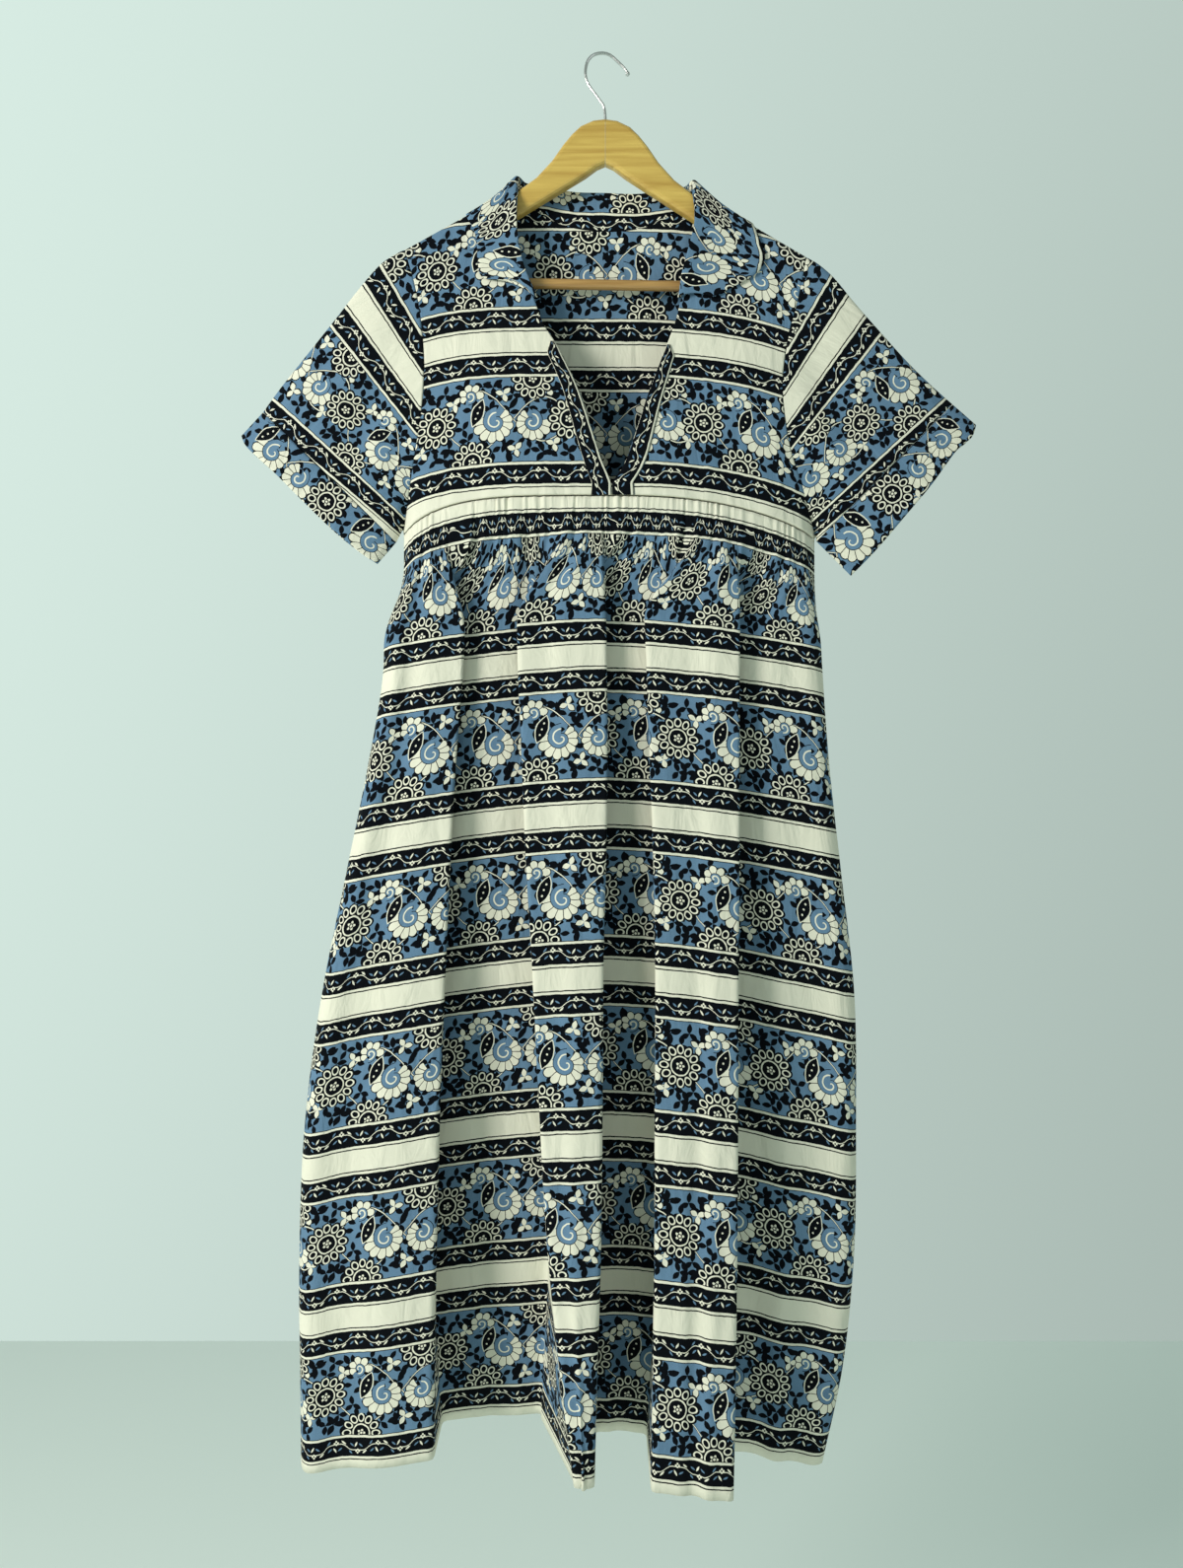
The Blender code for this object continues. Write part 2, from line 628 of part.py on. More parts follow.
def sleeve(side, look):
    """The sleeve up to its cuff strip. Its head follows the armhole."""
    hole = armhole(side)
    top = path_through(SLEEVE_TOP_LEFT if side < 0 else SLEEVE_TOP_RIGHT)
    under = path_through(UNDERARM_LEFT if side < 0 else UNDERARM_RIGHT)
    out = np.array([side * ARMHOLE_GAP, 0])

    def start(down):
        ends = (top(0) - hole(0)) * (1 - down) + (under(0) - hole(1)) * down
        return hole(down) + ends + out * 4 * down * (1 - down)

    def end(down):
        return top(1) + (under(1) - top(1)) * down

    def start_depths(face, down):
        x, z = hole(down)
        return panel_depth(face, x, z)

    surface = sleeve_surface(side, start, end, start_depths, flat_depth, top, under)
    name = "sleeve_left" if side < 0 else "sleeve_right"
    points, faces = tube(side, surface, SLEEVE_STEPS)
    normals = {}
    for k in range(SLEEVE_RING):
        turn = 2 * math.pi * k / SLEEVE_RING
        down = (1 - math.cos(turn)) / 2
        face = FRONT if turn < math.pi else BACK
        normal = armhole_normal(face, side, down)
        lower = -6 * max(down - 0.9, 0) * 10
        normals[k] = (0, normal[1], normal[2] + lower)
    return cloth(name, points, faces, look, normals)


def tube(side, surface, steps):
    """Rings of a sleeve or cuff and the faces between them, facing outwards."""
    points = []
    for share in steps:
        for k in range(SLEEVE_RING):
            points.append(surface(share, 2 * math.pi * k / SLEEVE_RING))
    faces = grid_faces(len(steps), SLEEVE_RING, closed=True)
    if side > 0:
        faces = [tuple(reversed(face)) for face in faces]
    return points, faces


def cuff(side, look):
    """The strip sewn to the sleeve's end."""
    top_curve = path_through(SLEEVE_TOP_LEFT if side < 0 else SLEEVE_TOP_RIGHT)
    under_curve = path_through(UNDERARM_LEFT if side < 0 else UNDERARM_RIGHT)
    edge = path_through(CUFF_EDGE_LEFT if side < 0 else CUFF_EDGE_RIGHT)
    seam = under_curve(1) - top_curve(1)
    across = np.array([-seam[1], seam[0]]) / np.linalg.norm(seam)
    across *= math.copysign(CUFF_GAP, np.dot(across, edge(0.5) - top_curve(1)))
    first = top_curve(1) + across
    last = under_curve(1) + across

    def start(down):
        return first + (last - first) * down

    surface = sleeve_surface(side, start, edge, flat_depth, flat_depth,
                             lambda s: first + (edge(0) - first) * s,
                             lambda s: last + (edge(1) - last) * s)
    name = "cuff_left" if side < 0 else "cuff_right"
    points, faces = tube(side, surface, CUFF_STEPS)
    return cloth(name, points, faces, look)


def collar_section(station):
    """Control points across the collar, from the neck seam over the roll to the outer edge."""
    turn = math.radians(station.turn)
    side = -1 if station.neck_x < 0 else 1
    out = np.array([side * math.cos(turn), math.sin(turn), 0])
    inward = np.array([-side * min(abs(station.neck_x) / 60, 1), 0, 0.7]) * COLLAR_SEAM_GAP
    neck = on_panel(station.neck_x, station.neck_drop, 0) + inward
    roll = np.array([station.roll_x, station.roll_y, station.roll_z])
    fall = on_panel((station.roll_x + station.edge_x) / 2,
                    (station.neck_drop + station.edge_drop) / 2, COLLAR_FALL_LIFT)
    edge = on_panel(station.edge_x, station.edge_drop, COLLAR_LIFT)
    return [neck, roll - out * COLLAR_CREASE, roll + np.array([0, 0, 0.8]),
            roll + out * COLLAR_CREASE, fall, edge]


def collar_stations():
    """The stations and smooth ones between them, closer together where they leave the shoulder."""
    rows = np.array(COLLAR, dtype=float)
    padded = np.vstack([2 * rows[0] - rows[1], rows, 2 * rows[-1] - rows[-2]])
    found = []
    for k in range(1, len(padded) - 2):
        before, start, end, after = padded[k - 1:k + 3]
        drops = (Station(*start).neck_drop, Station(*end).neck_drop)
        steps = COLLAR_STEPS
        if drops[0] == 0:
            steps = COLLAR_STEPS_OFF_SHOULDER
        elif drops[1] == 0:
            steps = [0] + [1 - step for step in reversed(COLLAR_STEPS_OFF_SHOULDER[1:])]
        for s in steps:
            row = 0.5 * (2 * start + (end - before) * s
                         + (2 * before - 5 * start + 4 * end - after) * s ** 2
                         + (3 * start - before - 3 * end + after) * s ** 3)
            if 0 in drops:
                flat = start + (end - start) * s
                row = row * 0.4 + flat * 0.6
            found.append(Station(*row))
    found.append(COLLAR[-1])
    return found


def collar(look):
    """The whole collar: a stand at the neck seam, a roll line and a fall that lies outside."""
    places = (0, 0.7, 1.5, 2, 2.5, 3.3, 4.1, 5)
    points = []
    stations = collar_stations()
    for station in stations:
        points += list(rounded(collar_section(station), places))
    return cloth("collar", points, grid_faces(len(stations), len(places)), look)


def fold(edge, lap, front, back, crease):
    """Control points of a knife fold, its front layer on the left and its back layer after it."""
    tuck = min(max(lap / FULL_TUCK, 0), 1)
    nose = CREASE_NOSE * tuck
    under = crease.reach * tuck
    inner = edge - lap
    return [(edge - crease.reach, front), (edge + nose, front),
            (edge + nose, front + crease.gap), (edge - under, front + crease.gap),
            (inner + under, back - crease.gap), (inner - nose, back - crease.gap),
            (inner - nose, back), (inner + crease.reach, back)]


def fold_right(edge, lap, front, back, crease):
    """The same fold with its front layer on the right."""
    return [(-x, y) for x, y in reversed(fold(-edge, lap, front, back, crease))]


def skirt_controls(level, edges, depths, laps):
    """Control points of a skirt panel's section, from its left side seam to its right one."""
    edge = at_level(edges, level)
    depth = at_level(depths, level)
    lap = at_level(laps, level)
    crease = at_level(CREASES, level)
    runs = (
        fold(edge.ab, lap.ab, depth.a, depth.b, crease),
        fold_right(edge.bc, lap.bc, depth.c, depth.b, crease),
        fold(edge.cd, lap.cd, depth.c, depth.d, crease),
        fold_right(edge.de, lap.de, depth.e, depth.d, crease),
        fold(edge.ef, lap.ef, depth.e, depth.f, crease),
    )
    controls = [(edge.left, depth.left), (edge.left, 0.45 * depth.left + 0.55 * depth.a),
                (edge.left + SIDE_TURN, depth.a)]
    for panel, run in zip("abcde", runs):
        controls += waves(panel, controls[-1], run[0], level) + run
    end = [(edge.right - SIDE_TURN, depth.f), (edge.right, 0.45 * depth.right + 0.55 * depth.f),
           (edge.right, depth.right)]
    return controls + waves("f", controls[-1], end[0], level) + end


def waves(panel, start, end, level):
    """Soft waves on the panel between two knife folds."""
    found = []
    for wave in PANEL_WAVES[panel]:
        x = start[0] + (end[0] - start[0]) * wave.share
        y = start[1] + (end[1] - start[1]) * wave.share
        found.append((x, y + wave.depth * (0.25 + 0.75 * level)))
    return found


class SkirtPanel:
    """One gathered skirt panel. Shares run from 0 at the left side seam to 1 at the right one."""

    def __init__(self, face, edges, depths, laps, gathers):
        self.face = face
        self.tables = (edges, depths, laps)
        self.gathers = gathers
        self.flip = 1 if face == FRONT else -1
        controls = skirt_controls(0.16, *self.tables)
        self.last = len(controls) - 1
        self.dense = np.linspace(0, self.last, self.last * 12 + 1)
        spots = rounded(controls, self.dense)
        lengths = np.concatenate([[0], np.cumsum(np.linalg.norm(np.diff(spots, axis=0), axis=1))])
        self.shares = lengths / lengths[-1]

    def share_at(self, place):
        """The seam share of a place along the controls."""
        return float(np.interp(place, self.dense, self.shares))

    def place_at(self, share):
        """The place along the controls of a seam share."""
        return float(np.interp(share, self.shares, self.dense))

    def row(self, level, shares):
        """Points of one row of the cloth at the given shares."""
        controls = skirt_controls(level, *self.tables)
        spots = rounded(controls, [self.place_at(share) for share in shares])
        across = ramp((level - 0.03) / 0.10)
        into = ramp(level / 0.08)
        edge = at_level(self.tables[0], level)
        fade = ramp(level / 0.15)
        sides = at_level(SKIRT_DROOP, level).sides
        ripple = GATHER_DEPTH * max(1 - level / GATHER_LENGTH, 0) ** 1.2
        points = []
        for share, (x, y) in zip(shares, spots):
            seam_x = SIDE_LEFT + (SIDE_RIGHT - SIDE_LEFT) * share
            seam_z = waist_height(seam_x)
            seam_y = panel_depth(self.face, seam_x, seam_z)
            taper = min(1, share * 60, (1 - share) * 60)
            gather = ripple * taper * math.cos(2 * math.pi * self.gathers * share)
            x = seam_x + (x - seam_x) * across
            y = seam_y + (y * self.flip - seam_y) * into + gather
            limit = edge.right if x > 0 else -edge.left
            droop = sides * min(abs(x) / limit, 1) ** 1.6
            z = WAIST - SKIRT_DROP * level - fade * droop - (1 - fade) * (WAIST - seam_z)
            if share in (0, 1):
                y += self.face * HALF_GAP
            points.append((x, y, z))
        return points

    def build(self, name, look, gather_levels, fold_levels):
        """The panel's wall: fine columns over the gathers and one for each control below."""
        fine = [k / (2 * self.gathers) for k in range(2 * self.gathers + 1)]
        places = [0] + [k + 0.5 for k in range(self.last)] + [self.last]
        coarse = [self.share_at(place) for place in places]
        coarse[-1] = 1
        rows = [(level, fine) for level in gather_levels] + [(level, coarse) for level in fold_levels]
        points = []
        faces = []
        normals = {}
        before = None
        for level, shares in rows:
            numbers = list(range(len(points), len(points) + len(shares)))
            normals[numbers[0]] = (-1, 0, 0)
            normals[numbers[-1]] = (1, 0, 0)
            points += self.row(level, shares)
            if before:
                old_shares, old_numbers = before
                if len(old_shares) == len(shares):
                    for k in range(len(shares) - 1):
                        faces.append((old_numbers[k], numbers[k], numbers[k + 1],
                                      old_numbers[k + 1]))
                else:
                    faces += zip_rows(old_numbers, old_shares, numbers, shares)
            before = (shares, numbers)
        if self.face == BACK:
            faces = [tuple(reversed(face)) for face in faces]
        return cloth(name, points, faces, look, normals)


def hanger_arm(side, look):
    """One half of the shaped wooden arm, its edges rounded but for those of the glued joint."""
    outline = [(max(edge.x, ARM_JOINT_GAP / 2), edge.top) for edge in ARM_TOP]
    outline += [(edge.x, edge.low) for edge in ARM_END]
    outline += [(max(edge.x, ARM_JOINT_GAP / 2), edge.low) for edge in ARM_LOW]
    mesh = bmesh.new()
    corners = []
    for x, z in outline:
        turned_x, turned_z = rolled(side * x, z)
        corners.append(mesh.verts.new((turned_x * MM, -ARM_HALF_THICKNESS * MM, turned_z * MM)))
    face = mesh.faces.new(corners)
    grown = bmesh.ops.extrude_face_region(mesh, geom=[face])
    moved = [item for item in grown["geom"] if isinstance(item, bmesh.types.BMVert)]
    bmesh.ops.translate(mesh, verts=moved, vec=(0, 2 * ARM_HALF_THICKNESS * MM, 0))
    bmesh.ops.recalc_face_normals(mesh, faces=mesh.faces)
    rims = []
    for edge in mesh.edges:
        first, second = (vert.co for vert in edge.verts)
        across = abs(first.y - second.y) > ARM_HALF_THICKNESS * MM
        joint = max(abs(first.x), abs(second.x)) < ARM_JOINT_GAP * MM
        if not across and not joint:
            rims.append(edge)
    bmesh.ops.bevel(mesh, geom=rims, offset=ARM_EDGE_ROUND * MM, segments=3, profile=0.5,
                    affect="EDGES")
    data = bpy.data.meshes.new("arm")
    mesh.to_mesh(data)
    mesh.free()
    data.shade_smooth()
    data.set_sharp_from_angle(angle=math.radians(35))
    return add_object("hanger_arm_left" if side < 0 else "hanger_arm_right", data, look)


def hanger_bar(look):
    """The round bar between the arms' ends."""
    sides = 16
    points = []
    for x in (-BAR_END, BAR_END):
        for k in range(sides):
            turn = 2 * math.pi * k / sides
            turned_x, turned_z = rolled(x, BAR_HEIGHT + BAR_RADIUS * math.sin(turn))
            points.append((turned_x, BAR_RADIUS * math.cos(turn), turned_z))
    faces = [(k, (k + 1) % sides, sides + (k + 1) % sides, sides + k) for k in range(sides)]
    faces += [tuple(reversed(range(sides))), tuple(range(sides, 2 * sides))]
    return add_mesh("hanger_bar", points, faces, look)


def hanger_hook(look):
    """The wire hook with its rounded tip."""
    route = path_through(HOOK_ROUTE)
    curve = bpy.data.curves.new("hook", "CURVE")
    curve.dimensions = "3D"
    curve.bevel_depth = WIRE_RADIUS * MM
    curve.bevel_resolution = 2
    curve.use_fill_caps = True
    spline = curve.splines.new("POLY")
    shares = list(np.linspace(0, 0.965, 30)) + [0.978, 0.99, 1]
    scales = [1] * 30 + [HOOK_TIP_SCALE, HOOK_TIP_SCALE, 0.7]
    spline.points.add(len(shares) - 1)
    for point, share, scale in zip(spline.points, shares, scales):
        x, z = route(share)
        turned_x, turned_z = rolled(x, z) if z < -40 else (x, z)
        point.co = (turned_x * MM, 0, turned_z * MM, 1)
        point.radius = scale
    return add_object("hanger_hook", curve, look)


def build():
    """Every piece of the dress and of its hanger."""
    for item in list(bpy.data.objects):
        bpy.data.objects.remove(item)
    blue = (0.16, 0.25, 0.42)
    cream = (0.72, 0.68, 0.52)
    dark = (0.012, 0.018, 0.035)
    hanger_arm(-1, material("arm_left_wood", (0.62, 0.36, 0.10), 0.4))
    hanger_arm(1, material("arm_right_wood", (0.58, 0.33, 0.09), 0.4))
    hanger_bar(material("bar_wood", (0.55, 0.30, 0.10), 0.45))
    hanger_hook(material("hook_chrome", (0.75, 0.75, 0.76), 0.15, 1.0))
    bodice_front(material("front_cotton", blue, 0.85))
    bodice_back(material("back_cotton", (0.14, 0.23, 0.40), 0.85))
    for side, word in ((-1, "left"), (1, "right")):
        facing(side, material(f"facing_{word}_cotton", dark, 0.85))
        sleeve(side, material(f"sleeve_{word}_cotton", (0.18, 0.27, 0.45), 0.85))
        cuff(side, material(f"cuff_{word}_cotton", (0.20, 0.30, 0.48), 0.85))
    collar(material("collar_cotton", (0.24, 0.33, 0.50), 0.85))
    front = SkirtPanel(FRONT, FRONT_EDGES, FRONT_DEPTHS, FRONT_LAPS, FRONT_GATHERS)
    front.build("skirt_front", material("skirt_front_cotton", cream, 0.85),
                GATHER_LEVELS, FOLD_LEVELS)
    back = SkirtPanel(BACK, BACK_EDGES, BACK_DEPTHS, BACK_LAPS, BACK_GATHERS)
    back.build("skirt_back", material("skirt_back_cotton", (0.60, 0.57, 0.45), 0.85),
               GATHER_LEVELS, FOLD_LEVELS[:4] + FOLD_LEVELS[5::2])


build()
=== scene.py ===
"""The look of the gathered midi dress: thin printed cotton, sewn and hung on its wooden hanger.

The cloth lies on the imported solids, built here again from the same sizes in millimetres, with
finer folds and with the print's coordinates along the cloth.
"""
from collections import namedtuple
from math import atan2, copysign, cos, degrees, exp, floor, hypot, pi, radians, sin, sqrt

import bpy
import numpy as np
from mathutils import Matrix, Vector


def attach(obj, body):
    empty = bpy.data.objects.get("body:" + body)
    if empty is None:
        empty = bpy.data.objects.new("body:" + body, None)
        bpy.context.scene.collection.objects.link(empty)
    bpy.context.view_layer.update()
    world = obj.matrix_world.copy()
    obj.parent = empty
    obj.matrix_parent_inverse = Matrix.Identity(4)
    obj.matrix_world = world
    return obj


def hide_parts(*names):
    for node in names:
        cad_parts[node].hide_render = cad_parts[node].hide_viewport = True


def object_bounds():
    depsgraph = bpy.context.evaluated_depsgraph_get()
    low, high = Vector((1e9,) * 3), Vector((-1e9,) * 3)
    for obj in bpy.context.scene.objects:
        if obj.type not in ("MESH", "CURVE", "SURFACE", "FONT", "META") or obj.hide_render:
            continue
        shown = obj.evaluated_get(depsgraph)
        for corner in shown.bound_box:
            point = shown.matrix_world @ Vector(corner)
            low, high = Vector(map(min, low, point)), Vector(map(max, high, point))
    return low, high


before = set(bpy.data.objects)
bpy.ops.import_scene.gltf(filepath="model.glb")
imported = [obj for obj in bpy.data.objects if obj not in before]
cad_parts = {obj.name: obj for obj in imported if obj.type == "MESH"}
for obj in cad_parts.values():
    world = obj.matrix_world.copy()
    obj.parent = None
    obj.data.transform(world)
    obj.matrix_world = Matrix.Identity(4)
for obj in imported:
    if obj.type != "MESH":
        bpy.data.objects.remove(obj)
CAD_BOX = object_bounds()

MM = 0.001
SIDE_NAMES = {-1: "left", 1: "right"}  # as seen from the front, as in every table by side
SEAM_GAP = 0.6  # between two sewn pieces, measured down the cloth
HALF_GAP = 0.2  # half the gap at a side or shoulder seam
CUFF_GAP = 0.8
ARMHOLE_GAP = 0.7

HANGER_ROLL = radians(1.0)

# Dress
CENTRE = 6.0  # the V slit and the middle of the front lie a little to the right
SIDE_LEFT = -205.0
SIDE_RIGHT = 213.0
SIDE_DEPTH = 5.0  # Y of both side seams at the waist
NECK_X = 90.0  # where the shoulder seams meet the collar
SHOULDER_LIFT = 4.0  # cloth above the wood along the shoulder
WAIST = -455.0  # height of the waist seam at the centre
WAIST_DROP_LEFT = 31.0
WAIST_DROP_RIGHT = 36.0
SKIRT_DROP = 936.0  # waist seam to hem at the centre
FRONT_GATHERS = 52
BACK_GATHERS = 44
GATHER_DEPTH = 1.7


def table(kind, *rows):
    """Rows of numbers as named tuples of one kind."""
    return tuple(kind(*row) for row in rows)


ArmEdge = namedtuple("ArmEdge", "x top")
ARM_TOP = table(
    ArmEdge,
    (0, -67), (12, -68.5), (25, -74.5), (34, -83), (43, -94),
    (54, -110), (70, -127.5), (88, -141), (148, -174.5),
    (194, -201),
)
SHOULDER_LINE = ARM_TOP + (ArmEdge(220, -215.5),)
Spot = namedtuple("Spot", "x z")
ARMHOLE = {-1: table(
    Spot,
    (-203, -199), (-192, -236), (-185, -275), (-182, -315), (-183, -350),
    (-188, -390), (-196, -435), (-205, -477),
), 1: table(
    Spot,
    (203, -206), (194, -250), (183, -292), (177, -345), (184, -400),
    (199, -444), (213, -482),
)}
NECK_EDGE = {-1: table(
    Spot,
    (-90, -139.5), (-92, -165), (-91, -192), (-87, -213), (-74, -246),
    (-62, -279), (-47, -304), (-27, -347), (-12, -393), (-3, -420),
    (6, -442),
), 1: table(
    Spot,
    (90, -142.5), (92, -165), (91, -184), (84, -213), (77, -246),
    (70, -276), (60, -304), (42, -353), (26, -403), (18, -424),
    (6, -442),
)}
BACK_NECK_DEPTH = 36.0
SLIT_END = 0.96  # share of the front edge that is open
SHOULDER_SHARE = 0.28  # of the back's width at the shoulder seams, in columns

# The neck facings are the vine-printed bands along the slit.
FACING_START = 0.50
Band = namedtuple("Band", "top bottom")
FACING_WIDTH = {-1: Band(13, 20), 1: Band(11, 22)}

# Sleeves: the top fold and the underarm edge run from the armhole to the cuff strip's seam.
SLEEVE_TOP = {-1: table(
    Spot,
    (-204, -198.5), (-213, -203), (-229, -214), (-250, -238), (-272, -266),
    (-300, -301), (-328, -336), (-347, -362),
), 1: table(
    Spot,
    (204, -206), (216, -213), (232, -227), (252, -251), (276, -278),
    (308, -313), (335, -339), (352, -354),
)}
UNDERARM = {-1: (Spot(-206.5, -481), Spot(-212, -494)), 1: (Spot(214.5, -486), Spot(214, -493))}
CUFF_EDGE = {-1: table(
    Spot,
    (-369, -386), (-361, -400), (-336, -423), (-304, -455), (-277, -481),
    (-250, -503), (-231, -516),
), 1: table(
    Spot,
    (376, -375), (369, -390), (353, -404), (327, -439), (300, -471),
    (273, -503), (249, -528),
)}
SLEEVE_HALF_DEPTH = 15.0

# Collar: each station gives the neck seam, the roll line and the outer edge. A drop is measured
# down from the shoulder seam, negative on the front, and turn is the way the roll faces, in
# degrees: -90 to the front, 0 to the side and 90 to the back.
Station = namedtuple("Station", "neck_x neck_drop roll_x roll_y roll_z edge_x edge_drop turn")
FRONT, BACK = -1, 1
COLLAR = table(
    Station,
    (-70, -116, -71, -19, -252, -101, -93, -90),
    (-75.5, -103, -75, -19, -239, -123, -77, -90),
    (-84.5, -81, -83, -19, -216, -128, -60, -90),
    (-91, -55, -88, -19, -189, -129, -42, -90),
    (-92, -28, -89, -17, -158, -132, -24, -70),
    (-89, 0, -90, 0, -123, -141, 0, 0),
    (-82, 13, -82, 13, -124, -122, 26, 60),
    (-62, 28, -61, 15, -127, -84, 46, 90),
    (-33, 37, -32, 16, -132, -44, 55, 90),
    (0, 40, 0, 16, -133, 0, 58, 90),
    (33, 37, 32, 16, -134, 44, 55, 90),
    (62, 28, 61, 15, -131, 84, 46, 90),
    (82, 13, 82, 13, -128, 124, 26, 60),
    (89, 0, 90, 0, -127, 147, 0, 0),
    (92, -26, 89, -17, -159, 157, -20, -70),
    (91, -46, 88.5, -19, -180, 160, -30, -90),
    (86, -68, 83, -19, -203, 155, -46, -90),
    (79, -93, 76, -19, -230, 140, -66, -90),
    (74, -113, 73, -19, -252, 108, -102, -90),
)
COLLAR_CREASE = 2.2
COLLAR_SEAM_GAP = 1.9
COLLAR_LIFT = 3.2
COLLAR_FALL_LIFT = 4.6

# Skirt: the knife folds' edges, the depth of each panel between them and how far each layer runs
# on behind the one before it, at levels from the waist (0) to the hem (1).
Edges = namedtuple("Edges", "level left ab bc cd de ef right")
Depths = namedtuple("Depths", "level left a b c d e f right")
Laps = namedtuple("Laps", "level ab bc cd de ef")
FRONT_EDGES = table(
    Edges,
    (0.00, -205, -141, -86, -2, 37, 131, 213),
    (0.07, -222, -141, -86, -2, 38, 131, 216),
    (0.16, -225, -143, -85, -1, 41, 130, 220),
    (0.26, -241, -150, -81, 0, 44, 129, 227),
    (0.36, -261, -155, -77, -1, 47, 128, 238),
    (0.48, -285, -160, -70, -4, 49, 126, 251),
    (0.62, -303, -165, -63, -5, 48, 124, 253),
    (0.78, -309, -168, -55, -6, 46, 122, 250),
    (0.90, -308, -169, -43, -9, 43, 120, 238),
    (1.00, -307, -169, -31, -11, 41, 118, 219),
)
FRONT_DEPTHS = table(
    Depths,
    (0.00, 5, -20, -22, -36, -34, -32, -18, 5),
    (0.07, 6, -24, -9, -39, -24, -39, -20, 5),
    (0.16, 7, -26, -10, -43, -24, -42, -21, 5),
    (0.26, 8, -28, -8, -48, -24, -48, -22, 5),
    (0.36, 9, -31, -5, -55, -24, -56, -23, 5),
    (0.48, 11, -34, 0, -65, -23, -66, -24, 4),
    (0.62, 13, -36, 8, -78, -20, -80, -25, 3),
    (0.78, 15, -38, 18, -93, -16, -95, -25, 2),
    (0.90, 16, -39, 26, -103, -12, -106, -25, 1),
    (1.00, 17, -40, 34, -110, -9, -113, -23, 0),
)
FRONT_LAPS = table(
    Laps,
    (0.00, 0, 0, 0, 0, 0),
    (0.07, 44, 30, 30, 32, 32),
    (0.16, 58, 36, 36, 38, 38),
    (0.26, 56, 35, 34, 36, 36),
    (0.36, 49, 33, 31, 33, 33),
    (0.48, 39, 28, 27, 28, 28),
    (0.62, 27, 18, 20, 21, 21),
    (0.78, 14, 0, 12, 12, 12),
    (0.90, 6, -18, 5, 5, 5),
    (1.00, 0, -35, 0, 0, 0),
)
BACK_EDGES = table(
    Edges,
    (0.00, -205, -128, -72, 0, 50, 128, 213),
    (0.16, -225, -130, -75, 0, 52, 133, 220),
    (0.36, -261, -142, -82, 2, 54, 142, 238),
    (0.62, -303, -158, -92, 5, 58, 150, 253),
    (1.00, -307, -168, -100, 8, 62, 150, 219),
)
BACK_DEPTHS = table(
    Depths,
    (0.00, -5, -16, -22, -24, -24, -22, -14, -5),
    (0.07, -6, -28, -14, -32, -17, -31, -15, -5),
    (0.16, -7, -33, -17, -38, -21, -37, -17, -5),
    (0.36, -9, -44, -24, -51, -29, -50, -22, -5),
    (0.62, -13, -62, -36, -72, -42, -69, -29, -3),
    (1.00, -17, -84, -52, -96, -56, -92, -34, 0),
)
BACK_LAPS = table(
    Laps,
    (0.00, 0, 0, 0, 0, 0),
    (0.07, 44, 26, 26, 30, 30),
    (0.16, 56, 31, 31, 36, 36),
    (0.36, 50, 33, 33, 36, 36),
    (0.62, 38, 30, 30, 32, 32),
    (1.00, 22, 20, 20, 22, 22),
)
Crease = namedtuple("Crease", "level reach gap")
CREASES = (Crease(0.0, 7, 6), Crease(0.5, 8, 6.5), Crease(0.8, 11, 9), Crease(1.0, 13, 12))
CREASE_NOSE = 2.0
FULL_TUCK = 20.0  # a lap this long or longer folds right back
SIDE_TURN = 14.0
# Soft waves on each panel between the knife folds: share of the way across, and depth at the hem.
Wave = namedtuple("Wave", "share depth")
PANEL_WAVES = {
    "a": (Wave(0.30, 7), Wave(0.66, -5)),
    "b": (Wave(0.35, 4), Wave(0.70, -3)),
    "c": (Wave(0.50, -3),),
    "d": (Wave(0.50, 4),),
    "e": (Wave(0.28, -4), Wave(0.52, 5), Wave(0.76, -4)),
    "f": (Wave(0.25, 5), Wave(0.50, -6), Wave(0.78, 3)),
}
Droop = namedtuple("Droop", "level sides")
SKIRT_DROOP = (Droop(0.0, 30), Droop(0.17, 25), Droop(0.5, 40), Droop(0.8, 40), Droop(1.0, 30))

# Cloth shells
CLOTH = 0.5  # thickness of the printed cotton
SKIRT_COLUMNS = 380
SKIRT_ROWS = 128
TUBE_RING = 140
COLLAR_STEPS = 8  # between two stations
ROLL_COLUMN = 9  # the collar's column that lies on its roll line
TOP_ROWS = (0, 0.0025, 0.005, 0.008, 0.012, 0.017, 0.024, 0.033, 0.045)
FACING_COLUMNS = 9
FACING_PLACE = {-1: (13.6, 35.9), 1: (36.2, 14.6)}  # print places of a facing's two edges
FACING_FIRST_PLACE = 12  # along the vine, at a facing's top
FACING_LIFT = 1.3
FACING_EDGE_FALL = 0.5  # how much lower a facing's edges lie
SLEEVE_TUCK = 1.2
BACK_SLEEVE_PLACE = 1100  # print place across, from which a sleeve's back counts down
CUFF_PLACE = (20, 58)  # print place at the top fold, on the seam
COLLAR_FALL_SHARE = 0.84  # print taken up per length of the collar's fall
FULL_FOLD_LEVEL = 0.16  # from here down the skirt's knife folds are full
THREAD_LEVEL = 0.33
SEAM_TUCK = 2.2  # how far an edge turns in at a seam

# Print: a cream band, vine bands beside it and a floral band, repeated down the cloth.
REPEAT = 156.0  # down the cloth
BLOCK = 133.0  # across the cloth, one printing block
SEAM_PHASE = 154.0  # the waist seam lies 2 mm above a cream band's centre
CREAM_HALF = 10.5
RULE_END = 11.7
LINE_END = 14.1
VINE_END = 33.1
BORDER_END = 35.5
EDGE_RULE_END = 36.3
VINE_MIDDLE = 23.6
VINE_PERIOD = 43.5
BODICE_REPEAT = 160.0  # the bodice's cloth hangs at a slant over the bust
BODICE_PHASE = 457.0
BLUE = (0.130, 0.232, 0.352)
CREAM = (0.800, 0.785, 0.650)
NAVY = (0.0016, 0.0028, 0.0050)

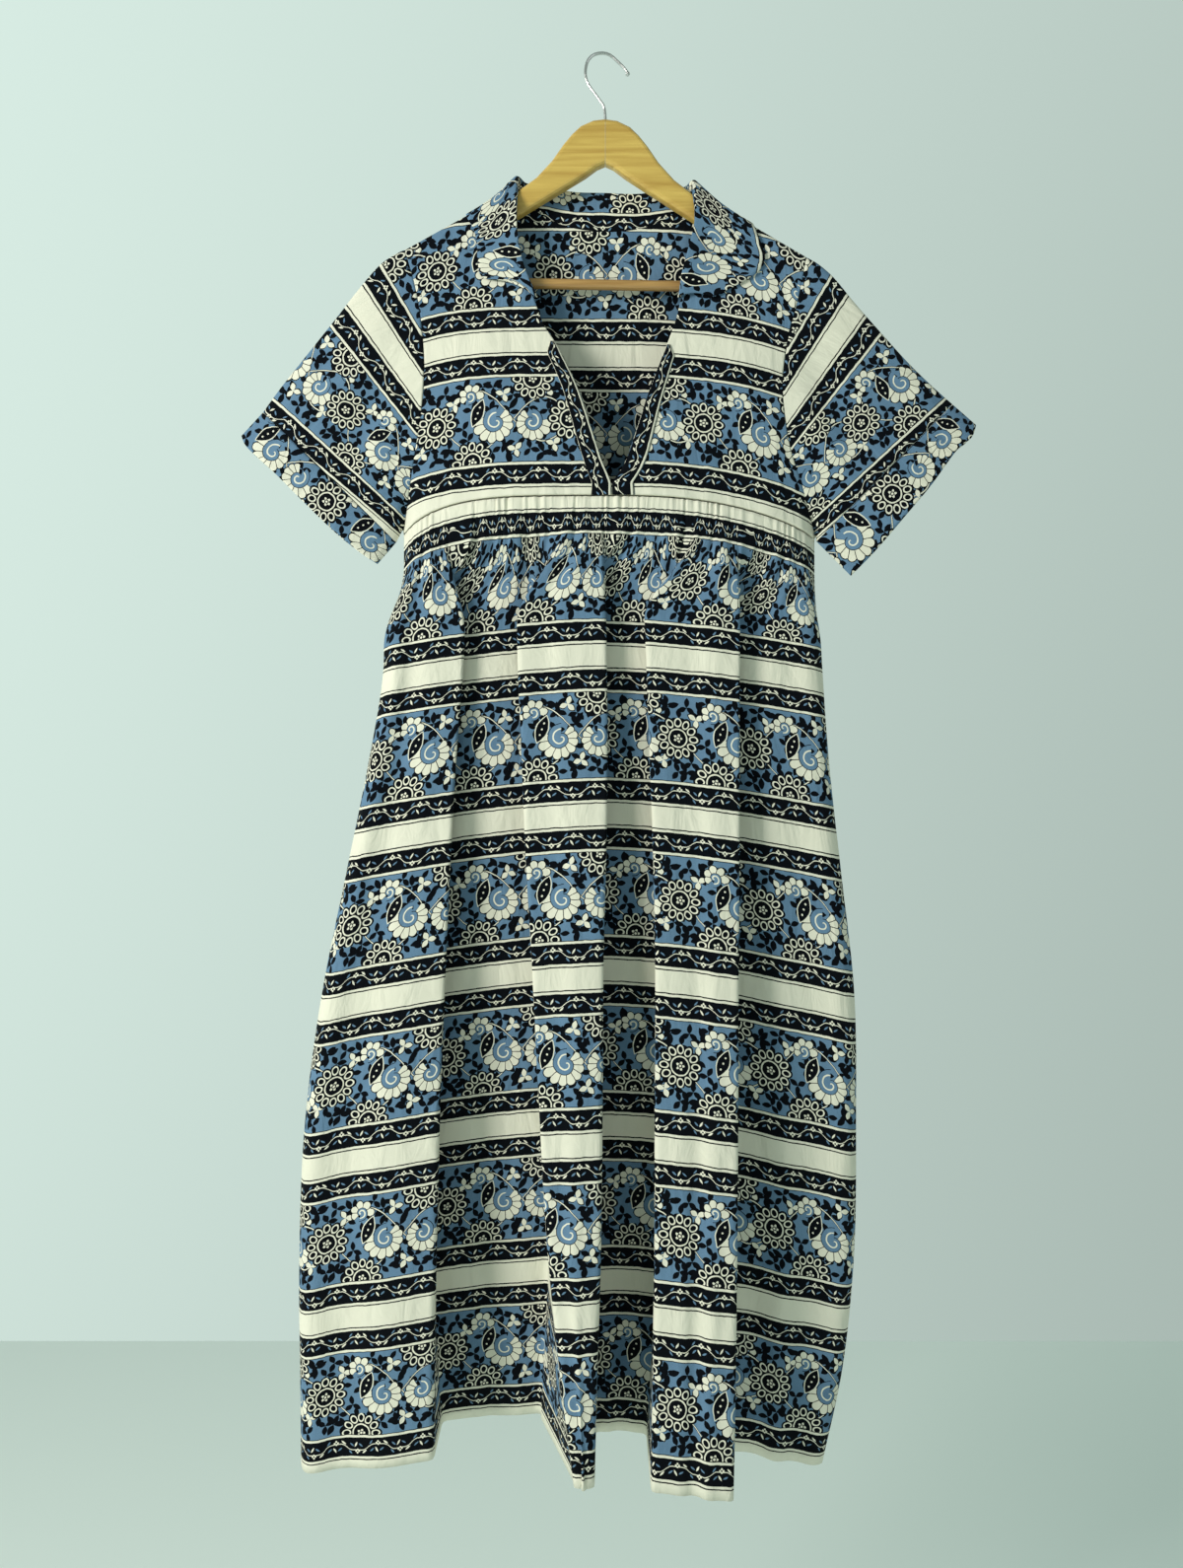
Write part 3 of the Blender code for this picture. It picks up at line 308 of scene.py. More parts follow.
# Sleeve print: the stripes fan out from one point between the armhole and the cuff.
Fan = namedtuple("Fan", "x z first last")
FAN = {-1: Fan(66, -717, 120.2, 137.5), 1: Fan(-58, -717, 59.8, 42.5)}
FIRST_STRIPE = -35.0
SLEEVE_FLOWER_LEFT = 481  # distance from the fan's point to a whole sunflower
SLEEVE_FLOWER_RIGHT = 463
BODICE_FLOWER = 97  # X of a whole sunflower on the front, and on the back
BACK_FLOWER = -53
COLLAR_FLOWER = 90
ROLL_PLACE = 59  # print place of the collar's roll line
# X and print place of one point on each panel of the skirt's front, a third of the way down.
Thread = namedtuple("Thread", "x place")
FRONT_THREADS = (Thread(-206, 35), Thread(-133, 168), Thread(-43, 326), Thread(29, 434),
                 Thread(71, 532), Thread(165, 680))

# Motifs: shift is across the cloth, and row is down it from the middle of the floral band.
INK_BLUE, INK_CREAM, INK_NAVY = 0.0, 1.0, 2.0
Sprigs = namedtuple("Sprigs", "per_block size width spots")
LEAVES = (
    Sprigs(7, 9.6, 2.6, ((9, -33), (19, 32), (1, -22), (13, 21), (8, 9), (17, -9))),
    Sprigs(4, 11.5, 3.0, ((24, -30), (8, 30))),
)
BUD_SPOTS = ((80, 27), (68, -28), (18, -22), (118, 22))
Curl = namedtuple("Curl", "shift row ring lobe count start end hand")
CURLS = table(
    Curl,
    (34, -25, 9.0, 3.3, 5, -3.9, 0.4, 1), (108, -26, 8.0, 3.0, 5, -3.6, 0.7, -1),
    (60, 2, 16.0, 4.0, 9, -0.9, 3.5, 1), (96, 3, 14.0, 3.8, 9, -1.0, 3.3, -1),
)
Leaf = namedtuple("Leaf", "shift row half width tilt dots")
PLAIN_LEAVES = (Leaf(112, -24, 10.0, 3.4, 0.9, False), Leaf(78, -16, 8.0, 3.0, 2.2, False))
DOTTED_LEAF = Leaf(42, -8, 13.5, 5.6, 1.95, True)
Sunflowers = namedtuple("Sunflowers", "shift row petal_ring petals")
SUNFLOWERS = Sunflowers(36.5, 40, 15.4, 12)
STEM_HEIGHT = 26
STEM_WIDTH = 0.6
VineLeaf = namedtuple("VineLeaf", "x y length width tilt ink")
VINE_LEAVES = table(
    VineLeaf,
    (4.6, -2.2, 2.7, 0.8, 0.7, INK_BLUE), (9.2, -2.4, 3.0, 0.9, 2.1, INK_CREAM),
    (14.4, -2.0, 2.7, 0.8, 0.6, INK_BLUE), (18.3, 4.6, 2.9, 0.9, -0.7, INK_CREAM),
    (3.6, 5.2, 2.6, 0.8, 0.9, INK_BLUE),
)

# How much the ink and the dyed ground vary, for each colour of the print.
Wear = namedtuple("Wear", "colour worn patchy")
WEAR = (Wear(BLUE, 0.45, 0.35), Wear(CREAM, 0.06, 0.10), Wear(NAVY, 1.8, 0.6))

# Looks of the hanger
Wood = namedtuple("Wood", "name dark light roughness")
ARM_WOOD = Wood("arm_wood", (0.47, 0.275, 0.050), (0.74, 0.525, 0.130), 0.38)
BAR_WOOD = Wood("bar_wood", (0.25, 0.120, 0.030), (0.58, 0.350, 0.120), 0.22)
GRAIN_STRETCH = (9, 60, 150)
CHROME = (0.70, 0.70, 0.69, 1)

# Camera and light, from the photograph
CAMERA_AT = (-0.014, -1.260, -0.739)
CAMERA_LENS = 28.53
FLOOR_DROP = 0.60
FLOOR_HALF_WIDTH = 9
FLOOR_BACK = 1.6
FLOOR_COLOUR = (0.84, 0.92, 0.88, 1)
SKY_COLOUR = (0.90, 1.10, 1.01, 1)
SKY_STRENGTH = 0.28
SKY_BEHIND = 0.32  # added behind the dress, more to the left and higher up
SKY_LEFT = 0.29
SKY_UP = 0.10
Light = namedtuple("Light", "name place target size power colour")
LIGHTS = (
    Light("key", (-2.3, -1.9, 0.1), (0, 0, -0.7), 1.0, 74, (1.0, 0.98, 0.93)),
    Light("fill", (1.6, -2.6, -0.2), (0, 0, -0.8), 2.0, 6, (0.93, 0.97, 1.0)),
)


def ramp(value):
    """0 below 0, 1 above 1 and smooth between."""
    share = min(max(value, 0.0), 1.0)
    return share * share * (3 - 2 * share)


def at_level(sections, level):
    """The row of a table at any level, on smooth curves through its rows."""
    rows = np.array(sections, dtype=float)
    levels = rows[:, 0]
    index = int(np.clip(np.searchsorted(levels, level, side="right") - 1, 0, len(levels) - 2))
    slopes = np.gradient(rows, levels, axis=0)
    span = levels[index + 1] - levels[index]
    s = (level - levels[index]) / span
    row = ((1 + 2 * s) * (1 - s) ** 2 * rows[index] + s * s * (3 - 2 * s) * rows[index + 1]
           + span * (s * (1 - s) ** 2 * slopes[index] - s * s * (1 - s) * slopes[index + 1]))
    return type(sections[0])(*row)


def spline(points, steps):
    """Rows of a smooth curve through the points, each after its start, its end and its share."""
    knots = np.array(points, dtype=float)
    padded = np.vstack([2 * knots[0] - knots[1], knots, 2 * knots[-1] - knots[-2]])
    for k in range(1, len(padded) - 2):
        before, start, end, after = padded[k - 1:k + 3]
        for s in np.linspace(0, 1, steps, endpoint=False):
            yield start, end, s, 0.5 * (2 * start + (end - before) * s
                                        + (2 * before - 5 * start + 4 * end - after) * s ** 2
                                        + (3 * start - before - 3 * end + after) * s ** 3)


def path_through(points):
    """A function of the share of its length along a smooth curve through the points."""
    dense = np.array([row for *_, row in spline(points, 12)] + [points[-1]], dtype=float)
    lengths = lengths_along(dense)
    lengths /= lengths[-1]

    def at(share):
        return np.array([np.interp(share, lengths, dense[:, axis])
                         for axis in range(dense.shape[1])])
    return at


def lengths_along(spots):
    """Distance from the first spot to each spot, along the line through them."""
    return np.concatenate([[0], np.cumsum(np.linalg.norm(np.diff(spots, axis=0), axis=1))])


def rounded(controls, places):
    """Points of the smooth curve that the control polygon pulls, by control number."""
    controls = np.array(controls, dtype=float)
    last = len(controls) - 1
    middles = (controls[:-1] + controls[1:]) / 2
    found = []
    for place in places:
        if place <= 0.5:
            found.append(controls[0] + (middles[0] - controls[0]) * max(place, 0) * 2)
        elif place >= last - 0.5:
            found.append(controls[-1] + (middles[-1] - controls[-1]) * max(last - place, 0) * 2)
        else:
            k = int(floor(place + 0.5))
            s = place + 0.5 - k
            found.append((1 - s) ** 2 * middles[k - 1] + 2 * s * (1 - s) * controls[k]
                         + s * s * middles[k])
    return np.array(found)


def grid_faces(rows, columns, start=0, closed=False):
    """Four-sided faces of a grid of points, facing -Y when rows go down and columns to +X."""
    faces = []
    for r in range(rows - 1):
        for c in range(columns if closed else columns - 1):
            n = (c + 1) % columns
            a = start + r * columns
            b = a + columns
            faces.append((a + c, b + c, b + n, a + n))
    return faces


def rolled(x, z):
    """A point of the wooden arm, which hangs a little lower on the right."""
    return x, z - x * sin(HANGER_ROLL)


def shoulder_height(x):
    """Height of the shoulder seam above the wood. It is level inside the neck."""
    reach = max(abs(x), NECK_X)
    top = np.interp(reach, [edge.x for edge in SHOULDER_LINE], [edge.top for edge in SHOULDER_LINE])
    return rolled(copysign(reach, x), top)[1] + SHOULDER_LIFT


def side_blend(x, z):
    """1 on the side seams at the waist, falling to 0 over a few centimetres."""
    limit = SIDE_RIGHT if x > 0 else -SIDE_LEFT
    return exp(-max(limit - abs(x), 0) / 9) * ramp((-z - 400) / 70)


def panel_depth(face, x, z):
    """Y of the bodice's outer surface on its front or back."""
    drop = max(shoulder_height(x) - z, 0)
    over = 10 * (1 - exp(-drop / 2.2))
    width = 1 - min(abs(x) / 216, 1) ** 2.5
    if face == FRONT:
        depth = -over - 27 * ramp((-z - 170) / 280) * width
    else:
        depth = over + 15 * ramp((-z - 150) / 200) * width
    blend = side_blend(x, z)
    return depth * (1 - blend) + SIDE_DEPTH * blend


def on_panel(x, drop, lift):
    """A point off the bodice by lift, below the shoulder seam by drop: negative on the front."""
    face = BACK if drop > 0 else FRONT
    z = shoulder_height(x) - abs(drop)
    up = exp(-abs(drop) / 2.2)
    out = sqrt(1 - up * up)
    return np.array([x, panel_depth(face, x, z) + face * lift * out, z + lift * up])


def on_shoulder(spots):
    """The same spots with the first one raised to the shoulder seam."""
    return (Spot(spots[0].x, shoulder_height(spots[0].x)),) + tuple(spots[1:])


def waist_height(x):
    """The waist seam droops towards the sides, sooner on the right."""
    if x < 0:
        return WAIST - WAIST_DROP_LEFT * (x / SIDE_LEFT) ** 5
    return WAIST - WAIST_DROP_RIGHT * (x / SIDE_RIGHT) ** 2.6


def armhole(side):
    """The armhole from the shoulder tip to the underarm, by share of its length."""
    return path_through(on_shoulder(ARMHOLE[side]))


def body_edge(side):
    """Armhole and short side seam together, down to the waist seam."""
    spots = on_shoulder(ARMHOLE[side])
    x = SIDE_LEFT if side < 0 else SIDE_RIGHT
    return path_through(spots + (Spot(x, waist_height(x) + SEAM_GAP),))


def slit_edge(side):
    """The neck edge down to the slit's end, and on to the waist seam."""
    curve = path_through(on_shoulder(NECK_EDGE[side]))
    end = curve(1)
    waist = np.array([CENTRE, waist_height(CENTRE) + SEAM_GAP])

    def at(share):
        if share <= SLIT_END:
            return curve(share / SLIT_END)
        return end + (waist - end) * (share - SLIT_END) / (1 - SLIT_END)
    return at


def patch(top, bottom, left, right):
    """A surface between four edge curves, each a function of its share from 0 to 1."""
    def at(u, v):
        corners = ((1 - u) * (1 - v) * top(0) + u * (1 - v) * top(1)
                   + (1 - u) * v * bottom(0) + u * v * bottom(1))
        return (1 - v) * top(u) + v * bottom(u) + (1 - u) * left(v) + u * right(v) - corners
    return at


def waist_edge(first, last):
    """The lower edge of a bodice piece, just above the waist seam, between two X."""
    def at(u):
        x = first + (last - first) * u
        return np.array([x, waist_height(x) + SEAM_GAP])
    return at


def front_half(side):
    """One half of the bodice front, from its outer edge (u = 0) to the slit (u = 1)."""
    outer = body_edge(side)
    slit = slit_edge(side)

    def top(u):
        x = outer(0)[0] + (slit(0)[0] - outer(0)[0]) * u
        return np.array([x, shoulder_height(x)])

    return patch(top, waist_edge(outer(1)[0], CENTRE), outer, slit)


def back_neck_height(x):
    """The back neck's curve."""
    sides = (shoulder_height(-NECK_X), shoulder_height(NECK_X))
    level = np.interp(x, (-NECK_X, NECK_X), sides)
    return level - BACK_NECK_DEPTH * (1 - min(abs(x) / NECK_X, 1) ** 2.6)


def half_turn(turn):
    """Share of the way down a flattened tube, and its face, at an angle round it."""
    return (1 - cos(turn)) / 2, FRONT if turn < pi else BACK


def sleeve_surface(start, end, start_depths, end_depths, top, under):
    """Points of a flattened tube between two slanted edges, by share along and angle round."""
    outline = patch(start, end, top, under)

    def at(share, turn):
        down, face = half_turn(turn)
        x, z = outline(down, share)
        depth = ((1 - share) * start_depths(face, down) + share * end_depths(face, down))
        return np.array([x, depth, z])
    return at


def flat_depth(face, down):
    """Half the thickness of a hanging sleeve from its top fold (0) to its lower edge (1)."""
    return face * SLEEVE_HALF_DEPTH * (max(4 * down * (1 - down), 0)) ** 0.6


def collar_section(station):
    """Control points across the collar, from the neck seam over the roll to the outer edge."""
    turn = radians(station.turn)
    side = -1 if station.neck_x < 0 else 1
    out = np.array([side * cos(turn), sin(turn), 0])
    inward = np.array([-side * min(abs(station.neck_x) / 60, 1), 0, 0.7]) * COLLAR_SEAM_GAP
    neck = on_panel(station.neck_x, station.neck_drop, 0) + inward
    roll = np.array([station.roll_x, station.roll_y, station.roll_z])
    fall = on_panel((station.roll_x + station.edge_x) / 2,
                    (station.neck_drop + station.edge_drop) / 2, COLLAR_FALL_LIFT)
    edge = on_panel(station.edge_x, station.edge_drop, COLLAR_LIFT)
    return [neck, roll - out * COLLAR_CREASE, roll + np.array([0, 0, 0.8]),
            roll + out * COLLAR_CREASE, fall, edge]


def fold(edge, lap, front, back, crease):
    """Control points of a knife fold, its front layer on the left and its back layer after it."""
    tuck = min(max(lap / FULL_TUCK, 0), 1)
    nose = CREASE_NOSE * tuck
    under = crease.reach * tuck
    inner = edge - lap
    return [(edge - crease.reach, front), (edge + nose, front),
            (edge + nose, front + crease.gap), (edge - under, front + crease.gap),
            (inner + under, back - crease.gap), (inner - nose, back - crease.gap),
            (inner - nose, back), (inner + crease.reach, back)]


def fold_right(edge, lap, front, back, crease):
    """The same fold with its front layer on the right."""
    return [(-x, y) for x, y in reversed(fold(-edge, lap, front, back, crease))]


def skirt_controls(level, edges, depths, laps):
    """Control points of a skirt panel's section, from its left side seam to its right one."""
    edge = at_level(edges, level)
    depth = at_level(depths, level)
    lap = at_level(laps, level)
    crease = at_level(CREASES, level)
    runs = (
        fold(edge.ab, lap.ab, depth.a, depth.b, crease),
        fold_right(edge.bc, lap.bc, depth.c, depth.b, crease),
        fold(edge.cd, lap.cd, depth.c, depth.d, crease),
        fold_right(edge.de, lap.de, depth.e, depth.d, crease),
        fold(edge.ef, lap.ef, depth.e, depth.f, crease),
    )
    controls = [(edge.left, depth.left), (edge.left, 0.45 * depth.left + 0.55 * depth.a),
                (edge.left + SIDE_TURN, depth.a)]
    for panel, run in zip("abcde", runs):
        controls += waves(panel, controls[-1], run[0], level) + run
    end = [(edge.right - SIDE_TURN, depth.f), (edge.right, 0.45 * depth.right + 0.55 * depth.f),
           (edge.right, depth.right)]
    return controls + waves("f", controls[-1], end[0], level) + end


def waves(panel, start, end, level):
    """Soft waves on the panel between two knife folds."""
    found = []
    for wave in PANEL_WAVES[panel]:
        x = start[0] + (end[0] - start[0]) * wave.share
        y = start[1] + (end[1] - start[1]) * wave.share
        found.append((x, y + wave.depth * (0.25 + 0.75 * level)))
    return found


def fill(node, inputs):
    """Gives each input of a node a plain value, or a link from the socket or number that feeds it."""
    for name, value in inputs.items():
        value = getattr(value, "socket", value)
        if isinstance(value, bpy.types.NodeSocket):
            node.id_data.links.new(value, node.inputs[name])
        else:
            node.inputs[name].default_value = value


def add_node(tree, kind, inputs=None, **settings):
    """A new shader node with its settings and inputs."""
    node = tree.nodes.new("ShaderNode" + kind)
    for name, value in settings.items():
        setattr(node, name, value)
    fill(node, inputs or {})
    return node


def operation(name, turned=False):
    """A method that adds a math node. Turned puts this number after the other one."""
    def run(self, *others):
        return self.make(name, *((*others, self) if turned else (self, *others)))
    return run


class Num:
    """A number in a node tree. Sums of them add math nodes."""

    def __init__(self, tree, socket):
        self.tree = tree
        self.socket = socket

    def make(self, name, *values):
        node = add_node(self.tree, "Math", dict(enumerate(values)), operation=name)
        return Num(self.tree, node.outputs[0])

    __add__ = operation("ADD")
    __radd__ = operation("ADD", turned=True)
    __sub__ = operation("SUBTRACT")
    __rsub__ = operation("SUBTRACT", turned=True)
    __mul__ = operation("MULTIPLY")
    __rmul__ = operation("MULTIPLY", turned=True)
    __truediv__ = operation("DIVIDE")
    __lt__ = operation("LESS_THAN")
    __gt__ = operation("GREATER_THAN")
    sin = operation("SINE")
    cos = operation("COSINE")
    abs = operation("ABSOLUTE")
    floor = operation("FLOOR")
    round = operation("ROUND")
    power = operation("POWER")
    angle = operation("ARCTAN2")

    def wrap(self, low, high):
        return self.make("WRAP", self, high, low)

    def length(self, other):
        return (self * self + other * other).power(0.5)


def painted(ink, *layers):
    """The ink with each layer painted on in turn: a mask, and the value where the mask is 1."""
    for mask, value in layers:
        node = add_node(ink.tree, "Mix", {"Factor": mask, "A": ink, "B": value}, data_type="FLOAT")
        ink = Num(ink.tree, node.outputs["Result"])
    return ink


def sunflower(ink, u, f):
    """Dark sunflowers with ringed petals, one whole and one half on each border."""
    flower = SUNFLOWERS
    step = (f / flower.row).round()
    dx = (u - step * flower.shift).wrap(-BLOCK / 2, BLOCK / 2)
    dy = f - step * flower.row
    r = dx.length(dy)
    turn = dy.angle(dx)
    petal_turn = turn.wrap(-pi / flower.petals, pi / flower.petals)
    px = r * petal_turn.cos() - flower.petal_ring
    py = r * petal_turn.sin()
    oval = (px / 5.4).power(2) + (py / 4.1).power(2)
    return painted(ink, (r < 15.0, INK_NAVY), (oval < 1.5, INK_NAVY), (oval < 0.72, INK_CREAM),
                   (oval < 0.31, INK_NAVY), (r < 10.8, INK_NAVY),
                   ((r - 8.8).abs() < 0.7, INK_CREAM),
                   (r < 1.4 + 3.0 * (turn * 2.5).cos().abs(), INK_CREAM),
                   ((r < 2.2) * (r > 1.2), INK_NAVY))


def curl(ink, u, f, motif):
    """A scalloped paisley: round cream lobes about a blue spiral, over part of a turn."""
    ring, lobe, start = motif.ring, motif.lobe, motif.start
    dx = ((u - motif.shift).wrap(-BLOCK / 2, BLOCK / 2)) * motif.hand
    dy = f - motif.row
    r = dx.length(dy)
    turn = dy.angle(dx).wrap(start - 0.6, start - 0.6 + 2 * pi)
    step = (motif.end - start) / motif.count
    number = (turn - start) / step
    index = number.floor()
    middle = (index + 0.5) * step + start
    inside = (turn > start) * (turn < motif.end)
    grown = ring * 0.70 + (middle - start) * (ring * 0.13)
    bead = (r * (turn - middle).cos() - grown).length(r * (turn - middle).sin())
    line = (0.5 - (number - index - 0.5).abs()) * r * step
    hollow = (turn - start) * (ring * 0.10) + ring * 0.38
    spiral = (r - (turn - start) * (ring * 0.085) - ring * 0.10).abs()
    return painted(ink, (inside * (bead < lobe + 0.9), INK_NAVY), (inside * (bead < lobe), INK_CREAM),
                   (inside * (r < grown), INK_CREAM),
                   (inside * (line < 0.35) * (r < grown + lobe * 0.8) * (r > hollow), INK_NAVY),
                   (r < hollow, INK_NAVY), (r < hollow - 0.7, INK_BLUE),
                   ((spiral < 0.75) * (r < ring * 0.6), INK_CREAM))


def leaf_shape(dx, dy, tilt, half, width):
    """Place along a tilted almond leaf, off its middle line, and a value below 0 inside it."""
    along = dx * cos(tilt) + dy * sin(tilt)
    across = (dy * cos(tilt) - dx * sin(tilt)).abs()
    return along, across, across - width * (1 - (along / half).power(2))


def leaf(ink, u, f, motif):
    """A dark almond leaf with, if asked, a cream edge and dots down its middle."""
    dx = (u - motif.shift).wrap(-BLOCK / 2, BLOCK / 2)
    half = motif.half
    along, across, shape = leaf_shape(dx, f - motif.row, motif.tilt, half, motif.width)
    if not motif.dots:
        return painted(ink, (shape < 0, INK_NAVY))
    bead = along.wrap(-half * 0.22, half * 0.22).length(across)
    return painted(ink, (shape < 1.1, INK_CREAM), (shape < 0, INK_NAVY),
                   ((bead < 1.0) * (along.abs() < half * 0.66), INK_CREAM))


def sprigs(ink, u, f, pitch, spot, size, width, value):
    """Small pointed leaves or buds in threes along a row, each turned another way."""
    shift, row = spot
    number = ((u - shift + pitch / 2) / pitch).floor()
    dx = (u - shift).wrap(-pitch / 2, pitch / 2)
    dy = f - row - 3.0 * (number * 2.1).sin()
    turn = (dy.angle(dx) + number * 1.7).wrap(-pi / 3, pi / 3)
    r = dx.length(dy)
    across = (r * turn.sin()).abs()
    along = r * turn.cos() * (2 / size) - 1
    return painted(ink, (across < (1 - along * along) * width, value))


def stem(ink, u, f, middle, shift):
    """A thin cream stem that waves through the flowers."""
    wave = ((u - shift) * (2 * pi / BLOCK)).sin() * STEM_HEIGHT + middle
    off = (f - wave).abs()
    return painted(ink, (off < STEM_WIDTH + 0.7, INK_NAVY), (off < STEM_WIDTH, INK_CREAM))


def vine(ink, u, a):
    """A cream stem with flowers and leaves on the dark band."""
    half = VINE_PERIOD / 2
    cell = (u / half).floor()
    flip = 1 - (cell * 0.5 - (cell * 0.5).floor()) * 4
    x = u - cell * half
    y = (a - VINE_MIDDLE) * flip
    stalk = y - (x * (pi / half)).sin() * 3.8 - (x * (3 * pi / half)).sin() * 0.7
    ink = painted(ink, (stalk.abs() < 0.42, INK_CREAM))
    for part in VINE_LEAVES:
        shape = leaf_shape(x - part.x, y - part.y, part.tilt, part.length, part.width)[2]
        ink = painted(ink, (shape < 0, part.ink))
    dx = x - half / 2
    dy = y - 4.4
    r = dx.length(dy)
    return painted(ink, (r < 1.0 + 1.6 * (dy.angle(dx) * 2).cos().abs(), INK_CREAM),
                   (r < 0.8, INK_NAVY))


def print_group():
    """The block print as a node group: cloth coordinates in millimetres to colour."""
    tree = bpy.data.node_groups.new("block_print", "ShaderNodeTree")
    tree.interface.new_socket("Cloth", in_out="INPUT", socket_type="NodeSocketVector")
    tree.interface.new_socket("Colour", in_out="OUTPUT", socket_type="NodeSocketColor")
    cloth = tree.nodes.new("NodeGroupInput").outputs["Cloth"]

    def noise(scale, detail, size):
        node = add_node(tree, "TexNoise", {"Vector": cloth, "Scale": scale, "Detail": detail})
        return (Num(tree, node.outputs["Fac"]) - 0.5) * size

    split = add_node(tree, "SeparateXYZ", {0: cloth})
    u = Num(tree, split.outputs["X"]) + noise(0.09, 2, 1.8)
    v = Num(tree, split.outputs["Y"]) + noise(0.11, 2, 1.6)
    v = v + ((u / BLOCK).floor() * 12.9898).sin() * 0.7  # each block is stamped a little off
    f = v.wrap(0, REPEAT) - REPEAT / 2
    a = REPEAT / 2 - f.abs()

    ink = u * 0
    for motif in LEAVES:
        for spot in motif.spots:
            ink = sprigs(ink, u, f, BLOCK / motif.per_block, spot, motif.size, motif.width, INK_NAVY)
    for motif in PLAIN_LEAVES:
        ink = leaf(ink, u, f, motif)
    ink = stem(ink, u, f, 4, 8)
    ink = stem(ink, u, f, -4, 74)
    for spot in BUD_SPOTS:
        ink = sprigs(ink, u, f, BLOCK, spot, 9.5, 3.3, INK_NAVY)
        ink = sprigs(ink, u, f, BLOCK, spot, 8.4, 2.5, INK_CREAM)
    for motif in CURLS:
        ink = curl(ink, u, f, motif)
    ink = leaf(ink, u, f, DOTTED_LEAF)
    ink = sunflower(ink, u, f)
    ink = painted(ink, (a < EDGE_RULE_END, INK_NAVY), (a < BORDER_END, INK_CREAM),
                  (a < VINE_END, INK_NAVY))
    ink = painted(ink, ((a > LINE_END + 0.6) * (a < VINE_END - 0.6), vine(ink, u, a)),
                  (a < LINE_END, INK_CREAM), (a < RULE_END, INK_NAVY), (a < CREAM_HALF, INK_CREAM))

    # Hand printing leaves the ink thinner in places and the ground unevenly dyed.
    worn = noise(0.9, 4, 1.0)
    patchy = noise(0.03, 3, 1.0)
    colours = []
    for wear in WEAR:
        level = 1 + worn * wear.worn + patchy * wear.patchy
        node = add_node(tree, "Mix", {"Factor": 1, "A": (*wear.colour, 1), "B": level},
                        data_type="RGBA", blend_type="MULTIPLY")
        colours.append(node.outputs["Result"])
    current = colours[0]
    for limit, colour in ((0.5, colours[1]), (1.5, colours[2])):
        node = add_node(tree, "Mix", {"Factor": ink > limit, "A": current, "B": colour},
                        data_type="RGBA")
        current = node.outputs["Result"]
    fill(tree.nodes.new("NodeGroupOutput"), {"Colour": current})
    return tree


def new_material(name):
    """A new material, its node tree and its shader."""
    made = bpy.data.materials.new(name)
    made.use_nodes = True
    return made, made.node_tree, made.node_tree.nodes["Principled BSDF"]


def stretched_noise(tree, coordinates, stretch, detail, distortion):
    """Noise drawn out by other amounts along each axis."""
    scaled = add_node(tree, "VectorMath", {0: coordinates, 1: stretch}, operation="MULTIPLY")
    return add_node(tree, "TexNoise", {"Vector": scaled.outputs["Vector"], "Scale": 1,
                                       "Detail": detail, "Distortion": distortion}).outputs["Fac"]


def cotton(name):
    """Block-printed plain-weave cotton."""
    made, tree, shader = new_material(name)
    cloth_map = add_node(tree, "UVMap", uv_map="cloth")
    scaled = add_node(tree, "VectorMath", {0: cloth_map.outputs["UV"], "Scale": 1000},
                      operation="SCALE").outputs["Vector"]
    group = add_node(tree, "Group", {"Cloth": scaled}, node_tree=print_group())
    weave = add_node(tree, "TexNoise", {"Vector": scaled, "Scale": 0.9, "Detail": 3})
    crumple = stretched_noise(tree, scaled, (0.055, 0.018, 1), 3, 0.6)
    fine = add_node(tree, "Bump", {"Strength": 0.25, "Distance": 0.0003,
                                   "Height": weave.outputs["Fac"]})
    soft = add_node(tree, "Bump", {"Strength": 0.5, "Distance": 0.006, "Height": crumple,
                                   "Normal": fine.outputs["Normal"]})
    fill(shader, {"Base Color": group.outputs["Colour"], "Roughness": 0.92,
                  "Specular IOR Level": 0.10, "Sheen Weight": 0.012, "Sheen Roughness": 0.5,
                  "Normal": soft.outputs["Normal"]})
    return made


COTTON = cotton("printed_cotton")


def add_object(name, data):
    """A new object in the scene."""
    made = bpy.data.objects.new(name, data)
    bpy.context.scene.collection.objects.link(made)
    return made


def cloth_piece(node, points, places, faces):
    """A shell of cloth from points and print places, both in millimetres, that stands for a node."""
    mesh = bpy.data.meshes.new(f"{node}_cloth")
    mesh.from_pydata([tuple(float(c) * MM for c in point) for point in points], [], faces)
    places = np.array(places, dtype=float) * MM
    layer = mesh.uv_layers.new(name="cloth")
    corners = np.empty(len(mesh.loops), dtype=np.int32)
    mesh.loops.foreach_get("vertex_index", corners)
    layer.data.foreach_set("uv", places[corners].astype(np.float32).ravel())
    mesh.shade_smooth()
    mesh.materials.append(COTTON)
    piece = add_object(f"{node}_cloth", mesh)
    solid = piece.modifiers.new("thickness", "SOLIDIFY")
    solid.thickness = CLOTH * MM
    solid.offset = -1
    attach(piece, "root")
    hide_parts(node)
    return piece


def bodice_place(x, z):
    """Print coordinates on the bodice. The stripes droop with the waist seam."""
    droop = (waist_height(x) - WAIST) * (0.55 if x < 0 else 0.9)
    return x - BODICE_FLOWER, (droop - z - BODICE_PHASE) * REPEAT / BODICE_REPEAT


def bust_folds(x, z, face):
    """Soft folds that rise from the gathered seam and from the armholes."""
    low = ramp((-z - 380) / 75)
    ripples = (sin(x / 5.1) + 0.7 * sin(x / 8.3 + 1.1)
               + 0.5 * sin(x / 3.1 + 0.4)) * 0.34 * low
    drape = 1.3 * sin(x / 21 + z / 60) * ramp((-z - 230) / 100)
    inner = 1 - exp(-max(min(x - SIDE_LEFT, SIDE_RIGHT - x), 0) / 14)
    return -face * (ripples + drape * 0.8) * inner


